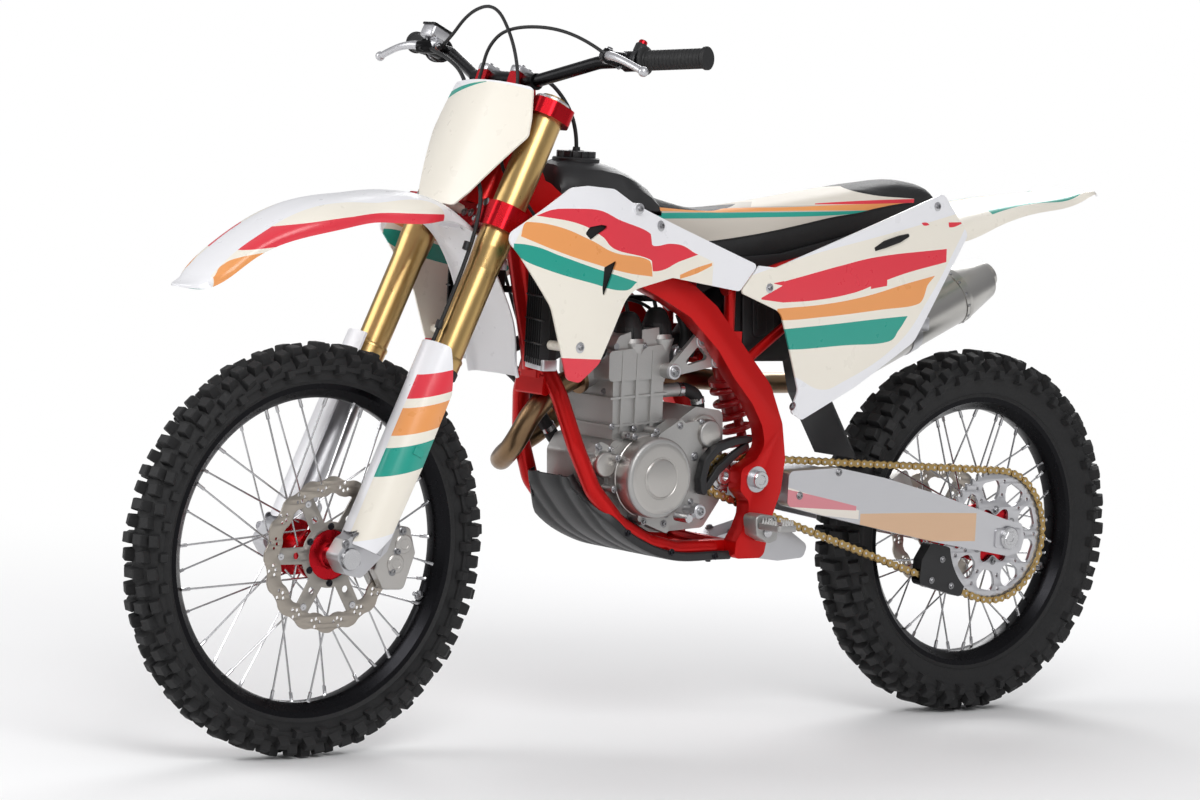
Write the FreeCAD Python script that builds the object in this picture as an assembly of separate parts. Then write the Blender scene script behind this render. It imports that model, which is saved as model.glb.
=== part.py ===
"""A motocross motorcycle, built as separate solids, in millimetres.

The model is drawn with X forward from the rear axle, Y to the rider's left and Z up from the
ground, and is moved at the end so that its origin lies on the seat, where the rider sits.
Everything that turns with the handlebar is drawn along the steering axis first (n forward of
the axis, y left, s up along it, from the height of the front axle) and is then leaned back.
"""
import FreeCAD, Part
import math
import os

from FreeCAD import Vector

# Driving dimensions of the whole machine
WHEELBASE = 1490.0
RAKE = 24.5               # lean of the steering axis, in degrees
FORK_OFFSET = 22.0        # fork legs ahead of the steering axis
AXLE_LEAD = 33.0          # front axle ahead of the fork legs
LEG_HALF_SPACING = 107.0  # fork leg centres from the middle plane
SEAT_POINT = (520.0, 0.0, 938.0)   # where the rider sits, the origin of the finished model

# Wheels: tip radius, half width over the knobs, rim flange radius and rim half width
FRONT_TYRE_RADIUS = 347.0
FRONT_TYRE_HALF = 46.0
FRONT_RIM_RADIUS = 280.0
FRONT_RIM_HALF = 24.0
REAR_TYRE_RADIUS = 340.0
REAR_TYRE_HALF = 60.0
REAR_RIM_RADIUS = 254.0
REAR_RIM_HALF = 31.0
RIM_DEPTH = 26.0          # rim flange down to the spoke bed
SPOKES_PER_FLANGE = 18
SPOKE_RADIUS = 1.8
SPOKE_SWEEP = 62.0        # turn of a spoke between hub and rim, in degrees
TREAD_PITCHES = 31        # rows of knobs round a tyre
KNOB_HEIGHT = 13.0

FRONT_AXLE_R = 10.0
FRONT_HUB_R = 26.0
FRONT_FLANGE_R = 47.0
FRONT_FLANGE_Y = 37.0     # spoke flange centre from the middle plane
FRONT_DISC_R = 130.0
REAR_AXLE_R = 12.5
REAR_HUB_R = 32.0
REAR_FLANGE_R = 54.0
REAR_FLANGE_Y = 38.0
REAR_HUB_HALF = 76.0
REAR_DISC_R = 120.0
REAR_DISC_Y = -68.0
DISC_THICK = 3.5
RUNNING_GAP = 0.5         # axle to hub, and hub to spacer

# Fork
OUTER_R = 29.5            # fork outer tube between the clamps
OUTER_LOW_R = 27.0        # fork outer tube at its lower end
INNER_R = 24.0            # sliding tube
OUTER_BOTTOM = 348.0
LOWER_CLAMP = (606.0, 650.0)
UPPER_CLAMP = (815.5, 843.5)
TUBE_ABOVE_CLAMP = 4.5
OUTER_TOP = UPPER_CLAMP[1] + TUBE_ABOVE_CLAMP
CLAMP_WALL = 9.0
STEM_R = 14.0
HEAD_R = 33.0
STEM_NUT = 12.0           # stem above the upper clamp
STEM_HOLE_DEPTH = 20.5    # hole in the stem that the vent hose ends in
STEM_HOLE = UPPER_CLAMP[1] + STEM_NUT - STEM_HOLE_DEPTH
HEAD_GAP = 3.0            # head tube to the clamps
LUG_INWARD = 15.0         # axle lugs, from the fork leg's centre to their faces
LUG_OUTWARD = 19.0
LUG_IN = LEG_HALF_SPACING - LUG_INWARD
LUG_OUT = LEG_HALF_SPACING + LUG_OUTWARD
HUB_TO_LUG = 16.0
DISC_TO_LUG = 26.0
FRONT_HUB_HALF = LUG_IN - HUB_TO_LUG
FRONT_DISC_Y = LUG_IN - DISC_TO_LUG
BAR_R = 11.1
BAR_MIDDLE_R = 14.3
GRIP_R = 17.0
BAR_AHEAD = 53.0          # handlebar middle ahead of the steering axis
BAR_RISE = 27.5           # handlebar middle above the upper clamp
BAR_UP = UPPER_CLAMP[1] + BAR_RISE
SEAT_FIT = 0.3            # air left between curved faces that seat on each other

# Frame
SPAR_OUT_FRONT = 62.0     # outer faces of the side beams, by the tank and by the swingarm
SPAR_OUT_WIDE = 132.0
SPAR_WALL = 34.0
NECK_HALF = 28.0
DOWN_TUBE_R = 26.0
RAIL_R = 15.0             # cradle tubes under the engine
RAIL_Y = 92.0
RAIL_Z = 338.0
SKID_THICK = 4.0
SKID_HALF = 115.5
SUBFRAME_R = 11.0
PIVOT = (628.0, 462.0)    # swingarm pivot, x and z
PIVOT_BOLT_R = 8.5
SHOCK_TOP = (618.0, 0.0, 694.0)
SHOCK_FOOT = (505.0, 0.0, 384.3)
SPRING_START = 66.0       # from the shock's top eye to its spring
SPRING_LENGTH = 190.0
SPRING_TURNS = 7
SPRING_R = 34.0           # spring radius to the middle of its wire
SPRING_WIRE_R = 5.8

# Drive
CHAIN_Y = 85.0
CHAIN_PITCH = 15.875
FRONT_TEETH = 13
REAR_TEETH = 48
FRONT_SPROCKET = (676.0, 465.0)
CHAIN_HALF_HEIGHT = 8.0
CHAIN_HALF_WIDTH = 9.0
CHAIN_WAIST = 2.0         # how far a link's outer edge dips between its pins
SPROCKET_THICK = 7.0
CRANK = (850.0, 468.0)    # crankshaft, x and z
GEARBOX_FACE = 92.0       # left face of the gearbox, beside the front sprocket
CAN_LENGTH = 350.0        # straight part of the silencer
LOUVRES = 8               # upright blades in front of each radiator

# Body panels
PANEL = 3.5               # wall of the plastic panels

REAR_AXLE = (0.0, REAR_TYRE_RADIUS)
FRONT_AXLE = (WHEELBASE, FRONT_TYRE_RADIUS)
RAKE_SIN = math.sin(math.radians(RAKE))
RAKE_COS = math.cos(math.radians(RAKE))
AXLE_AHEAD = FORK_OFFSET + AXLE_LEAD
STEER_FOOT = (FRONT_AXLE[0] - AXLE_AHEAD * RAKE_COS, FRONT_AXLE[1] - AXLE_AHEAD * RAKE_SIN)

PARTS = {}


def fore(x):
    """A place along the machine: ahead of the pivot it moves forward with the wheelbase."""
    drawn_wheelbase = 1490.0   # at which the points of the side view are given
    head_back = 1040.0         # from here on the frame keeps its place to the steering head
    share = max(0.0, min(1.0, (x - PIVOT[0]) / (head_back - PIVOT[0])))
    return x + share * (WHEELBASE - drawn_wheelbase)


def ahead(points):
    """Points whose first number is a place along the machine, moved with the wheelbase."""
    return [(fore(p[0]),) + tuple(p[1:]) for p in points]


def rounded(points, radius, place):
    """A closed outline through corner points (a, b) or (a, b, own radius), corners rounded."""
    count = len(points)
    corners = [Vector(p[0], p[1], 0) for p in points]
    radii = [p[2] if len(p) > 2 else radius for p in points]
    ends = []
    for i in range(count):
        here = corners[i]
        before = (corners[i - 1] - here)
        after = (corners[(i + 1) % count] - here)
        room = 0.49 * min(before.Length, after.Length)
        before.normalize()
        after.normalize()
        half = before.getAngle(after) / 2
        reach = radii[i] / math.tan(half) if radii[i] > 0 else 0
        reach = min(reach, room)
        if reach < 0.05 or half > math.radians(89.5):
            ends.append((here, None, here))
            continue
        own = reach * math.tan(half)
        inward = (before + after)
        inward.normalize()
        middle = here + inward * (own / math.sin(half) - own)
        ends.append((here + before * reach, middle, here + after * reach))
    edges = []
    for i in range(count):
        start, middle, end = ends[i]
        if middle is not None:
            edges.append(Part.Arc(place(start), place(middle), place(end)).toShape())
        following = ends[(i + 1) % count][0]
        if (following - end).Length > 0.01:
            edges.append(Part.makeLine(place(end), place(following)))
    return Part.Wire(edges)


def side_plate(points, y0, y1, radius=0):
    """A plate with its outline in x and z, from y0 to y1."""
    wire = rounded(points, radius, lambda p: Vector(p.x, y0, p.y))
    return Part.Face(wire).extrude(Vector(0, y1 - y0, 0))


def top_plate(points, z0, z1, radius=0):
    """A plate with its outline in x and y, from z0 to z1."""
    wire = rounded(points, radius, lambda p: Vector(p.x, p.y, z0))
    return Part.Face(wire).extrude(Vector(0, 0, z1 - z0))


def rod(start, end, radius):
    """A round bar between two points."""
    a = Vector(*start)
    along = Vector(*end) - a
    return Part.makeCylinder(radius, along.Length, a, along)


def path_wire(points, bend):
    """Straight runs joined by tangent arcs of the bend radius, or less where a run is short."""
    spots = [Vector(*p) for p in points]
    edges = []
    last = spots[0]
    for i in range(1, len(spots) - 1):
        here = spots[i]
        back = spots[i - 1] - here
        on = spots[i + 1] - here
        room = 0.45 * min(back.Length, on.Length)
        back.normalize()
        on.normalize()
        half = back.getAngle(on) / 2
        reach = min(bend / math.tan(half), room)
        own = reach * math.tan(half)
        inward = back + on
        inward.normalize()
        middle = here + inward * (own / math.sin(half) - own)
        start = here + back * reach
        end = here + on * reach
        edges.append(Part.makeLine(last, start))
        edges.append(Part.Arc(start, middle, end).toShape())
        last = end
    edges.append(Part.makeLine(last, spots[-1]))
    return Part.Wire(edges)


def bent_tube(points, radius, bend):
    """A round bar along straight runs and tangent arcs."""
    along = Vector(*points[1]) - Vector(*points[0])
    section = Part.Wire(Part.Circle(Vector(*points[0]), along, radius).toShape())
    return path_wire(points, bend).makePipeShell([section], True, True)


def faceted(faces):
    """A solid from flat faces, each a list of corner points."""
    made = [Part.Face(Part.makePolygon([Vector(*p) for p in corners + [corners[0]]]))
            for corners in faces]
    shell = Part.makeShell(made)
    shell.sewShape()
    return Part.makeSolid(shell)


def turned(profile, centre, radius=0):
    """A solid turned about the wheel axis through centre, from a profile of (y, r) corners."""
    wire = rounded(profile, radius, lambda p: Vector(centre[0], p.x, centre[1] + p.y))
    return Part.Face(wire).revolve(Vector(centre[0], 0, centre[1]), Vector(0, 1, 0), 360)


def turned_upright(profile, n, y, radius=0):
    """A solid turned about an upright line at (n, y), from a profile of (r, s) corners."""
    wire = rounded(profile, radius, lambda p: Vector(n + p.x, y, p.y))
    return Part.Face(wire).revolve(Vector(n, y, 0), Vector(0, 0, 1), 360)


def joined(shapes):
    """Several solids fused to one."""
    whole = shapes[0].multiFuse(shapes[1:]) if len(shapes) > 1 else shapes[0]
    return whole.removeSplitter()


def mirrored(shape):
    """The same piece on the other side of the middle plane."""
    return shape.mirror(Vector(0, 0, 0), Vector(0, 1, 0))


def lean(shape):
    """From the upright drawing of the steered parts to their real place."""
    placed = shape.copy()
    placed.rotate(Vector(0, 0, 0), Vector(0, 1, 0), -RAKE)
    placed.translate(Vector(STEER_FOOT[0], 0, STEER_FOOT[1]))
    return placed


def steered(n, y, s):
    """The real place of a point of the steered parts."""
    return (STEER_FOOT[0] + n * RAKE_COS - s * RAKE_SIN, y,
            STEER_FOOT[1] + n * RAKE_SIN + s * RAKE_COS)


def sheet_section(spot, tangent, half, drop, wall):
    """A closed arched section across the machine: its crown at spot (x, z), edges dropped."""
    angle = math.radians(tangent)
    down = Vector(math.sin(angle), 0, -math.cos(angle))
    crown = Vector(spot[0], 0, spot[1])
    shares = [-1.0, -0.92, -0.6, 0.0, 0.6, 0.92, 1.0]
    falls = [1.0, 0.42, 0.1, 0.0, 0.1, 0.42, 1.0]
    outer = [crown + Vector(0, half * a, 0) + down * (drop * b) for a, b in zip(shares, falls)]
    inner = [crown + Vector(0, (half - wall) * a, 0) + down * (drop * b + wall * (1 - b * 0.9))
             for a, b in zip(shares, falls)]
    top = Part.BSplineCurve()
    top.interpolate(outer)
    bottom = Part.BSplineCurve()
    bottom.interpolate(inner)
    return Part.Wire([top.toShape(), Part.makeLine(outer[-1], inner[-1]),
                      bottom.toShape(), Part.makeLine(inner[0], outer[0])])


def keep(name, shape):
    """Puts a finished piece in the list, by its name."""
    PARTS[name] = shape


def tyre(centre, tip, half, flange, rim_half):
    """A knobbly tyre of flat facets: a row of blocks along its middle, and one row on each
    shoulder, half a pitch on."""
    base = tip - KNOB_HEIGHT
    bead = rim_half - 4.4
    wall = (half - 6, flange + (base - flange) * 0.45)
    low = (half - 3, base - 24)
    shoulder = (half * 0.66, base - 5)
    middle = (half * 0.42, base - 1.5)
    right = [(bead, flange - 12.5), (bead, flange + 0.6), wall, low, shoulder, middle]
    line = [(-y, r) for y, r in right] + right[::-1]
    knobs = {3: 1, 5: 0, 7: 1}         # span of the line that rises: 0 in even rows, 1 in odd
    raised = {3: (-half, base - 18), 4: (-half * 0.72, tip - 3), 5: (-half * 0.4, tip - 0.5),
              6: (half * 0.4, tip - 0.5), 7: (half * 0.72, tip - 3), 8: (half, base - 18)}
    count = 2 * TREAD_PITCHES

    def spot(place, k):
        angle = 2 * math.pi * (k % count) / count
        return (centre[0] + place[1] * math.cos(angle), place[0],
                centre[1] + place[1] * math.sin(angle))
    faces = []
    for k in range(count):
        for i in range(len(line)):
            j = (i + 1) % len(line)
            if knobs.get(i) == k % 2:
                a, b = raised[i], raised[j]
                faces.append([spot(line[i], k), spot(a, k), spot(b, k), spot(line[j], k)])
                faces.append([spot(line[i], k + 1), spot(a, k + 1), spot(b, k + 1),
                              spot(line[j], k + 1)])
                faces.append([spot(line[i], k), spot(a, k), spot(a, k + 1),
                              spot(line[i], k + 1)])
                faces.append([spot(line[j], k), spot(b, k), spot(b, k + 1),
                              spot(line[j], k + 1)])
            else:
                a, b = line[i], line[j]
            faces.append([spot(a, k), spot(b, k), spot(b, k + 1), spot(a, k + 1)])
    return faceted(faces)


def rim_with_spokes(centre, flange, half, hub_flange_r, hub_flange_y):
    """A drop-centre rim with its wire spokes, crossed on both sides of each hub flange."""
    bed = flange - RIM_DEPTH
    profile = [(-half, flange), (-half + 4, flange), (-half + 4.2, flange - 13),
               (-half * 0.45, flange - 15), (-half * 0.3, bed + 5), (half * 0.3, bed + 5),
               (half * 0.45, flange - 15), (half - 4.2, flange - 13), (half - 4, flange),
               (half, flange), (half - 1, flange - 12), (half * 0.62, flange - 20),
               (half * 0.42, bed), (-half * 0.42, bed), (-half * 0.62, flange - 20),
               (-half + 1, flange - 12)]
    rim = turned(profile, centre)
    spokes = []
    step = 360.0 / SPOKES_PER_FLANGE
    for side in (1, -1):
        for k in range(SPOKES_PER_FLANGE):
            outside = k % 2 == 0
            turn = SPOKE_SWEEP if outside else -SPOKE_SWEEP
            start_angle = math.radians(k * step + (step / 4 if side > 0 else -step / 4))
            end_angle = start_angle + math.radians(turn)
            hub_y = side * (hub_flange_y + (3.0 if outside else -3.0))
            rim_y = side * (8.0 if outside else 2.0)
            hub_r = hub_flange_r - 5
            start = Vector(centre[0] + hub_r * math.cos(start_angle), hub_y,
                           centre[1] + hub_r * math.sin(start_angle))
            end = Vector(centre[0] + (bed + 2) * math.cos(end_angle), rim_y,
                         centre[1] + (bed + 2) * math.sin(end_angle))
            spokes.append(six_sided(start, end, SPOKE_RADIUS))
    return rim.multiFuse(spokes)


def six_sided(start, end, radius):
    """A thin wire with six flat sides between two points."""
    along = end - start
    side = along.cross(Vector(0, 1, 0))
    side.normalize()
    other = along.cross(side)
    other.normalize()
    corners = [start + side * (radius * math.cos(math.radians(60 * k)))
               + other * (radius * math.sin(math.radians(60 * k))) for k in range(6)]
    return Part.Face(Part.makePolygon(corners + [corners[0]])).extrude(along)


def disc(centre, outer, y, inner, carrier, lobes):
    """A waved brake disc: a ring with scalloped edge on arms from the hub."""
    ring = turned([(y, inner), (y + DISC_THICK, inner), (y + DISC_THICK, outer), (y, outer)],
                  centre)
    bowl = turned([(y, carrier - 12), (y + DISC_THICK, carrier - 12),
                   (y + DISC_THICK, carrier + 4), (y, carrier + 4)], centre)
    arms = []
    for k in range(6):
        angle = 60.0 * k
        arm = Part.makeBox(inner - carrier + 6, DISC_THICK, 12,
                           Vector(centre[0] + carrier - 1, y, centre[1] - 6))
        arm.rotate(Vector(centre[0], 0, centre[1]), Vector(0, 1, 0), angle)
        arms.append(arm)
    plate = ring.multiFuse([bowl] + arms)
    bites = []
    for k in range(lobes):
        angle = math.radians(360.0 * k / lobes)
        middle = outer + 9
        bites.append(Part.makeCylinder(13, DISC_THICK + 2,
                                       Vector(centre[0] + middle * math.cos(angle), y - 1,
                                              centre[1] + middle * math.sin(angle)),
                                       Vector(0, 1, 0)))
    return plate.cut(Part.makeCompound(bites)).removeSplitter()


def front_wheel():
    """Tyre, spoked rim, hub and brake disc of the front wheel."""
    c = FRONT_AXLE
    keep("front_tyre", tyre(c, FRONT_TYRE_RADIUS, FRONT_TYRE_HALF, FRONT_RIM_RADIUS,
                            FRONT_RIM_HALF))
    keep("front_rim", rim_with_spokes(c, FRONT_RIM_RADIUS, FRONT_RIM_HALF, FRONT_FLANGE_R,
                                      FRONT_FLANGE_Y))
    bore = FRONT_AXLE_R + RUNNING_GAP
    fy = FRONT_FLANGE_Y
    carrier = FRONT_DISC_Y
    hub = turned([(-FRONT_HUB_HALF, bore), (FRONT_HUB_HALF, bore), (FRONT_HUB_HALF, 22),
                  (carrier + 4, 24), (carrier, 50), (carrier - 6, 52), (carrier - 14, 36),
                  (fy + 4, 30), (fy + 4, FRONT_FLANGE_R), (fy - 4, FRONT_FLANGE_R),
                  (fy - 6, FRONT_HUB_R), (-fy + 6, FRONT_HUB_R), (-fy + 4, FRONT_FLANGE_R),
                  (-fy - 4, FRONT_FLANGE_R), (-fy - 6, 30), (-FRONT_HUB_HALF, 22)], c)
    plate = disc(c, FRONT_DISC_R, carrier, 98, 52, 16)
    keep("front_hub", hub.cut(plate))
    keep("front_disc", plate)


def rear_wheel():
    """Tyre, spoked rim, hub, sprocket and brake disc of the rear wheel."""
    c = REAR_AXLE
    keep("rear_tyre", tyre(c, REAR_TYRE_RADIUS, REAR_TYRE_HALF, REAR_RIM_RADIUS, REAR_RIM_HALF))
    keep("rear_rim", rim_with_spokes(c, REAR_RIM_RADIUS, REAR_RIM_HALF, REAR_FLANGE_R,
                                     REAR_FLANGE_Y))
    bore = REAR_AXLE_R + RUNNING_GAP
    fy = REAR_FLANGE_Y
    face = CHAIN_Y - SPROCKET_THICK / 2
    back = REAR_DISC_Y + DISC_THICK
    hub = turned([(-REAR_HUB_HALF, bore), (face, bore), (face, 56), (face - 7, 58),
                  (face - 16, 40), (fy + 4, 38), (fy + 4, REAR_FLANGE_R), (fy - 4, REAR_FLANGE_R),
                  (fy - 6, REAR_HUB_R), (-fy + 6, REAR_HUB_R), (-fy + 4, REAR_FLANGE_R),
                  (-fy - 4, REAR_FLANGE_R), (-fy - 6, 38), (back + 8, 40), (back, 52),
                  (back, 40), (-REAR_HUB_HALF, 26)], c)
    plate = disc(c, REAR_DISC_R, REAR_DISC_Y, 92, 52, 14)
    keep("rear_hub", hub.cut(plate))
    keep("rear_disc", plate)
    keep("rear_sprocket", sprocket(c))


def chain_radius(teeth):
    """Pitch radius of a sprocket."""
    return CHAIN_PITCH / 2 / math.sin(math.pi / teeth)


def chain_floor(teeth):
    """The radius that stays free inside the chain's straight links on a sprocket."""
    inner = chain_radius(teeth) - CHAIN_HALF_HEIGHT
    return inner * math.cos(math.pi / teeth) - SEAT_FIT


def sprocket(centre):
    """The rear sprocket, inside the chain's loop, with its lightening holes."""
    y0 = CHAIN_Y - SPROCKET_THICK / 2
    tip = chain_floor(REAR_TEETH)
    root = tip - 6
    corners = []
    step = 360.0 / REAR_TEETH
    for k in range(REAR_TEETH):
        for turn, radius in ((0, root), (0.3, root), (0.5, tip), (0.8, tip)):
            angle = math.radians((k + turn) * step)
            corners.append(Vector(centre[0] + radius * math.cos(angle), y0,
                                  centre[1] + radius * math.sin(angle)))
    plate = Part.Face(Part.makePolygon(corners + [corners[0]]))
    plate = plate.extrude(Vector(0, SPROCKET_THICK, 0))
    cuts = [Part.makeCylinder(REAR_AXLE_R + RUNNING_GAP + 6, SPROCKET_THICK,
                              Vector(centre[0], y0, centre[1]), Vector(0, 1, 0))]
    for k in range(6):
        angle = 60.0 * k
        window = side_plate([(66, -13), (98, -18), (98, 18), (66, 13)], y0,
                            y0 + SPROCKET_THICK, 6)
        window.translate(Vector(centre[0], 0, centre[1]))
        window.rotate(Vector(centre[0], 0, centre[1]), Vector(0, 1, 0), angle)
        cuts.append(window)
    return plate.cut(Part.makeCompound(cuts))


def chain():
    """The drive chain, a loop of straight links round both sprockets, waisted outside."""
    path = belt_outline(chain_radius(FRONT_TEETH), chain_radius(REAR_TEETH))
    links = 2 * round(path.Length / CHAIN_PITCH / 2)
    pins = path.discretize(Number=links + 1)[:-1]
    outer = []
    inner = []
    for k in range(links):
        outward = (pins[(k + 1) % links] - pins[k - 1]).cross(Vector(0, 1, 0))
        outward.normalize()
        outer.append(pins[k] + outward * CHAIN_HALF_HEIGHT)
        inner.append(pins[k] - outward * CHAIN_HALF_HEIGHT)
    wide = Vector(0, CHAIN_HALF_WIDTH, 0)
    faces = []
    for k in range(links):
        n = (k + 1) % links
        waist = (outer[k] + outer[n]) * 0.5
        inward = (inner[k] + inner[n]) * 0.5 - waist
        inward.normalize()
        waist = waist + inward * CHAIN_WAIST
        for a, b in ((outer[k], waist), (waist, outer[n]), (inner[k], inner[n])):
            faces.append([a - wide, b - wide, b + wide, a + wide])
        for side in (wide, wide * -1):
            faces.append([p + side for p in (outer[k], waist, outer[n], inner[n], inner[k])])
    loop = faceted([[tuple(p) for p in corners] for corners in faces])
    loop.translate(Vector(0, CHAIN_HALF_WIDTH, 0))
    keep("chain", loop)


def belt_outline(front_r, rear_r):
    """The outline of a belt round circles at the front sprocket and the rear axle."""
    y = CHAIN_Y - CHAIN_HALF_WIDTH
    rear = Vector(REAR_AXLE[0], y, REAR_AXLE[1])
    front = Vector(FRONT_SPROCKET[0], y, FRONT_SPROCKET[1])
    along = front - rear
    slope = math.atan2(along.z, along.x)
    open_angle = math.acos((rear_r - front_r) / along.Length)

    def at(centre, radius, angle):
        return centre + Vector(radius * math.cos(angle), 0, radius * math.sin(angle))
    up = slope + open_angle
    low = slope - open_angle
    edges = [Part.makeLine(at(rear, rear_r, up), at(front, front_r, up)),
             Part.Arc(at(front, front_r, up), at(front, front_r, slope),
                      at(front, front_r, low)).toShape(),
             Part.makeLine(at(front, front_r, low), at(rear, rear_r, low)),
             Part.Arc(at(rear, rear_r, low), at(rear, rear_r, slope + math.pi),
                      at(rear, rear_r, up)).toShape()]
    return Part.Wire(edges)


def fork():
    """Fork outer tubes, sliding tubes with their axle lugs, clamps, guards and front axle."""
    outers = []
    legs = []
    guards = []
    for side in (1, -1):
        y = side * LEG_HALF_SPACING
        tube = turned_upright([(0, OUTER_BOTTOM), (OUTER_LOW_R + 2, OUTER_BOTTOM),
                               (OUTER_LOW_R + 2, OUTER_BOTTOM + 26),
                               (OUTER_LOW_R, OUTER_BOTTOM + 30),
                               (OUTER_LOW_R, LOWER_CLAMP[0] - 70), (OUTER_R, LOWER_CLAMP[0] - 30),
                               (OUTER_R, OUTER_TOP), (22, OUTER_TOP), (20, OUTER_TOP + 8),
                               (0, OUTER_TOP + 8)], FORK_OFFSET, y)
        pocket = Part.makeCylinder(INNER_R + SEAT_FIT, 40, Vector(FORK_OFFSET, y, OUTER_BOTTOM))
        outers.append(lean(tube.cut(pocket)))
        legs.append(lean(fork_leg(side)))
        guards.append(lean(fork_guard(side)))
    keep("fork_outers", Part.makeCompound(outers))
    keep("fork_legs", Part.makeCompound(legs))
    keep("fork_guards", Part.makeCompound(guards))
    keep("fork_clamps", lean(fork_clamps()))
    out = LUG_OUT + 3
    axle = Part.makeCylinder(FRONT_AXLE_R, 2 * out, Vector(AXLE_AHEAD, -out, 0), Vector(0, 1, 0))
    nut = Part.makeCylinder(16, 6, Vector(AXLE_AHEAD, LUG_OUT + SEAT_FIT, 0), Vector(0, 1, 0))
    shape = [axle, nut]
    for side in (1, -1):
        low = FRONT_HUB_HALF + RUNNING_GAP
        length = LUG_IN - SEAT_FIT - low
        start = low if side > 0 else -low - length
        shape.append(Part.makeCylinder(17, length, Vector(AXLE_AHEAD, start, 0),
                                       Vector(0, 1, 0)))
    keep("front_axle", lean(joined(shape)))


def fork_leg(side):
    """A sliding tube with the forged lug that holds the axle."""
    y = side * LEG_HALF_SPACING
    tube = Part.makeCylinder(INNER_R, OUTER_BOTTOM + 40 - 30, Vector(FORK_OFFSET, y, 30))
    foot = Part.makeCylinder(INNER_R + 5, 60, Vector(FORK_OFFSET, y, 28))
    low, high = sorted((side * LUG_IN, side * LUG_OUT))
    lug = side_plate([(-6, 96), (-8, 40), (20, -20), (AXLE_AHEAD - 4, -26), (AXLE_AHEAD + 26, -8),
                      (AXLE_AHEAD + 20, 26), (50, 60), (50, 96)], low, high, 12)
    leg = joined([tube, foot, lug])
    hole = Part.makeCylinder(FRONT_AXLE_R + 0.1, 80, Vector(AXLE_AHEAD, y - 40, 0),
                             Vector(0, 1, 0))
    return leg.cut(hole)


def fork_guard(side):
    """A curved plastic guard in front of the sliding tube."""
    y = side * LEG_HALF_SPACING
    outer = 43.0
    wall = 3.0
    centre = Vector(FORK_OFFSET + 4, y, 24)
    tall = OUTER_BOTTOM + 22
    shell = Part.makeCylinder(outer, tall, centre)
    shell = shell.cut(Part.makeCylinder(outer - wall, tall, centre))
    low, high = sorted((y - side * 26, y + side * 60))
    keep_zone = side_plate([(30, 20), (80, 20), (80, OUTER_BOTTOM + 40), (46, OUTER_BOTTOM + 40),
                            (8, OUTER_BOTTOM - 30), (4, 190), (10, 60)], low, high, 8)
    guard = shell.common(keep_zone)
    stay = Part.makeBox(20, 20, 12, Vector(FORK_OFFSET - 4, y + side * 34.3 - 10, 200))
    low, high = sorted((side * (LUG_IN - 1), side * (LUG_OUT + 1)))
    lug_room = side_plate([(-8, 100), (-10, 38), (18, -24), (AXLE_AHEAD + 10, -28),
                           (AXLE_AHEAD + 30, -4), (AXLE_AHEAD + 22, 30), (54, 62), (54, 100)],
                          low, high, 12)
    return guard.fuse(stay).cut(lug_room)


def clamp_outline():
    """The outline, seen along the steering axis, of a clamp round both fork tubes."""
    r = OUTER_R + CLAMP_WALL
    y = LEG_HALF_SPACING
    n = FORK_OFFSET
    return [(n + r, -y - r * 0.5), (n + r, -y + r * 0.6), (n + 12, -45), (n + 12, 45),
            (n + r, y - r * 0.6), (n + r, y + r * 0.5), (n + r * 0.5, y + r),
            (n - r * 0.6, y + r), (n - r, y + r * 0.4), (n - r, y - r * 0.5), (-26, 40),
            (-30, 0), (-26, -40), (n - r, -y + r * 0.5), (n - r, -y - r * 0.4),
            (n - r * 0.6, -y - r), (n + r * 0.5, -y - r)]


def fork_clamps():
    """The upper and lower fork clamps, their stem and the handlebar mounts."""
    low = top_plate(clamp_outline(), LOWER_CLAMP[0], LOWER_CLAMP[1], 16)
    high = top_plate(clamp_outline(), UPPER_CLAMP[0], UPPER_CLAMP[1], 16)
    stem = Part.makeCylinder(STEM_R, UPPER_CLAMP[1] + STEM_NUT - LOWER_CLAMP[0],
                             Vector(0, 0, LOWER_CLAMP[0]))
    nut = Part.makeCylinder(18, 9, Vector(0, 0, UPPER_CLAMP[1]))
    bores = []
    for side in (1, -1):
        bores.append(Part.makeCylinder(OUTER_R + 0.1, 400,
                                       Vector(FORK_OFFSET, side * LEG_HALF_SPACING, 550)))
    mounts = []
    for side in (1, -1):
        y = side * 45
        mounts.append(side_plate([(FORK_OFFSET - 8, UPPER_CLAMP[1] - 1),
                                  (FORK_OFFSET + 11, UPPER_CLAMP[1] - 1),
                                  (BAR_AHEAD + 20, BAR_UP - 16), (BAR_AHEAD + 22, BAR_UP + 12),
                                  (BAR_AHEAD - 22, BAR_UP + 20), (BAR_AHEAD - 24, BAR_UP - 6)],
                                 y - 13, y + 13, 5))
    bar_hole = Part.makeCylinder(BAR_MIDDLE_R + 0.1, 300, Vector(BAR_AHEAD, -150, BAR_UP),
                                 Vector(0, 1, 0))
    body = joined([low.cut(Part.makeCompound(bores)), high.cut(Part.makeCompound(bores)), stem,
                   nut] + mounts)
    stem_hole = Part.makeCylinder(6.5, 60, Vector(0, 0, STEM_HOLE))
    return body.cut(bar_hole).cut(stem_hole)


BAR_POINTS = [(BAR_AHEAD, 0, BAR_UP), (BAR_AHEAD, 80, BAR_UP), (35, 205, BAR_UP + 50),
              (-17, 405, BAR_UP + 92)]


def handlebar_line(side):
    """The handlebar's line from its middle to one end."""
    return [(n, side * y, s) for n, y, s in BAR_POINTS]


def along_grip(side, distance):
    """A point on the outer straight run of the bar, back from its end, and its direction."""
    end = Vector(*handlebar_line(side)[-1])
    way = end - Vector(*handlebar_line(side)[-2])
    way.normalize()
    return end - way * distance, way


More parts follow.
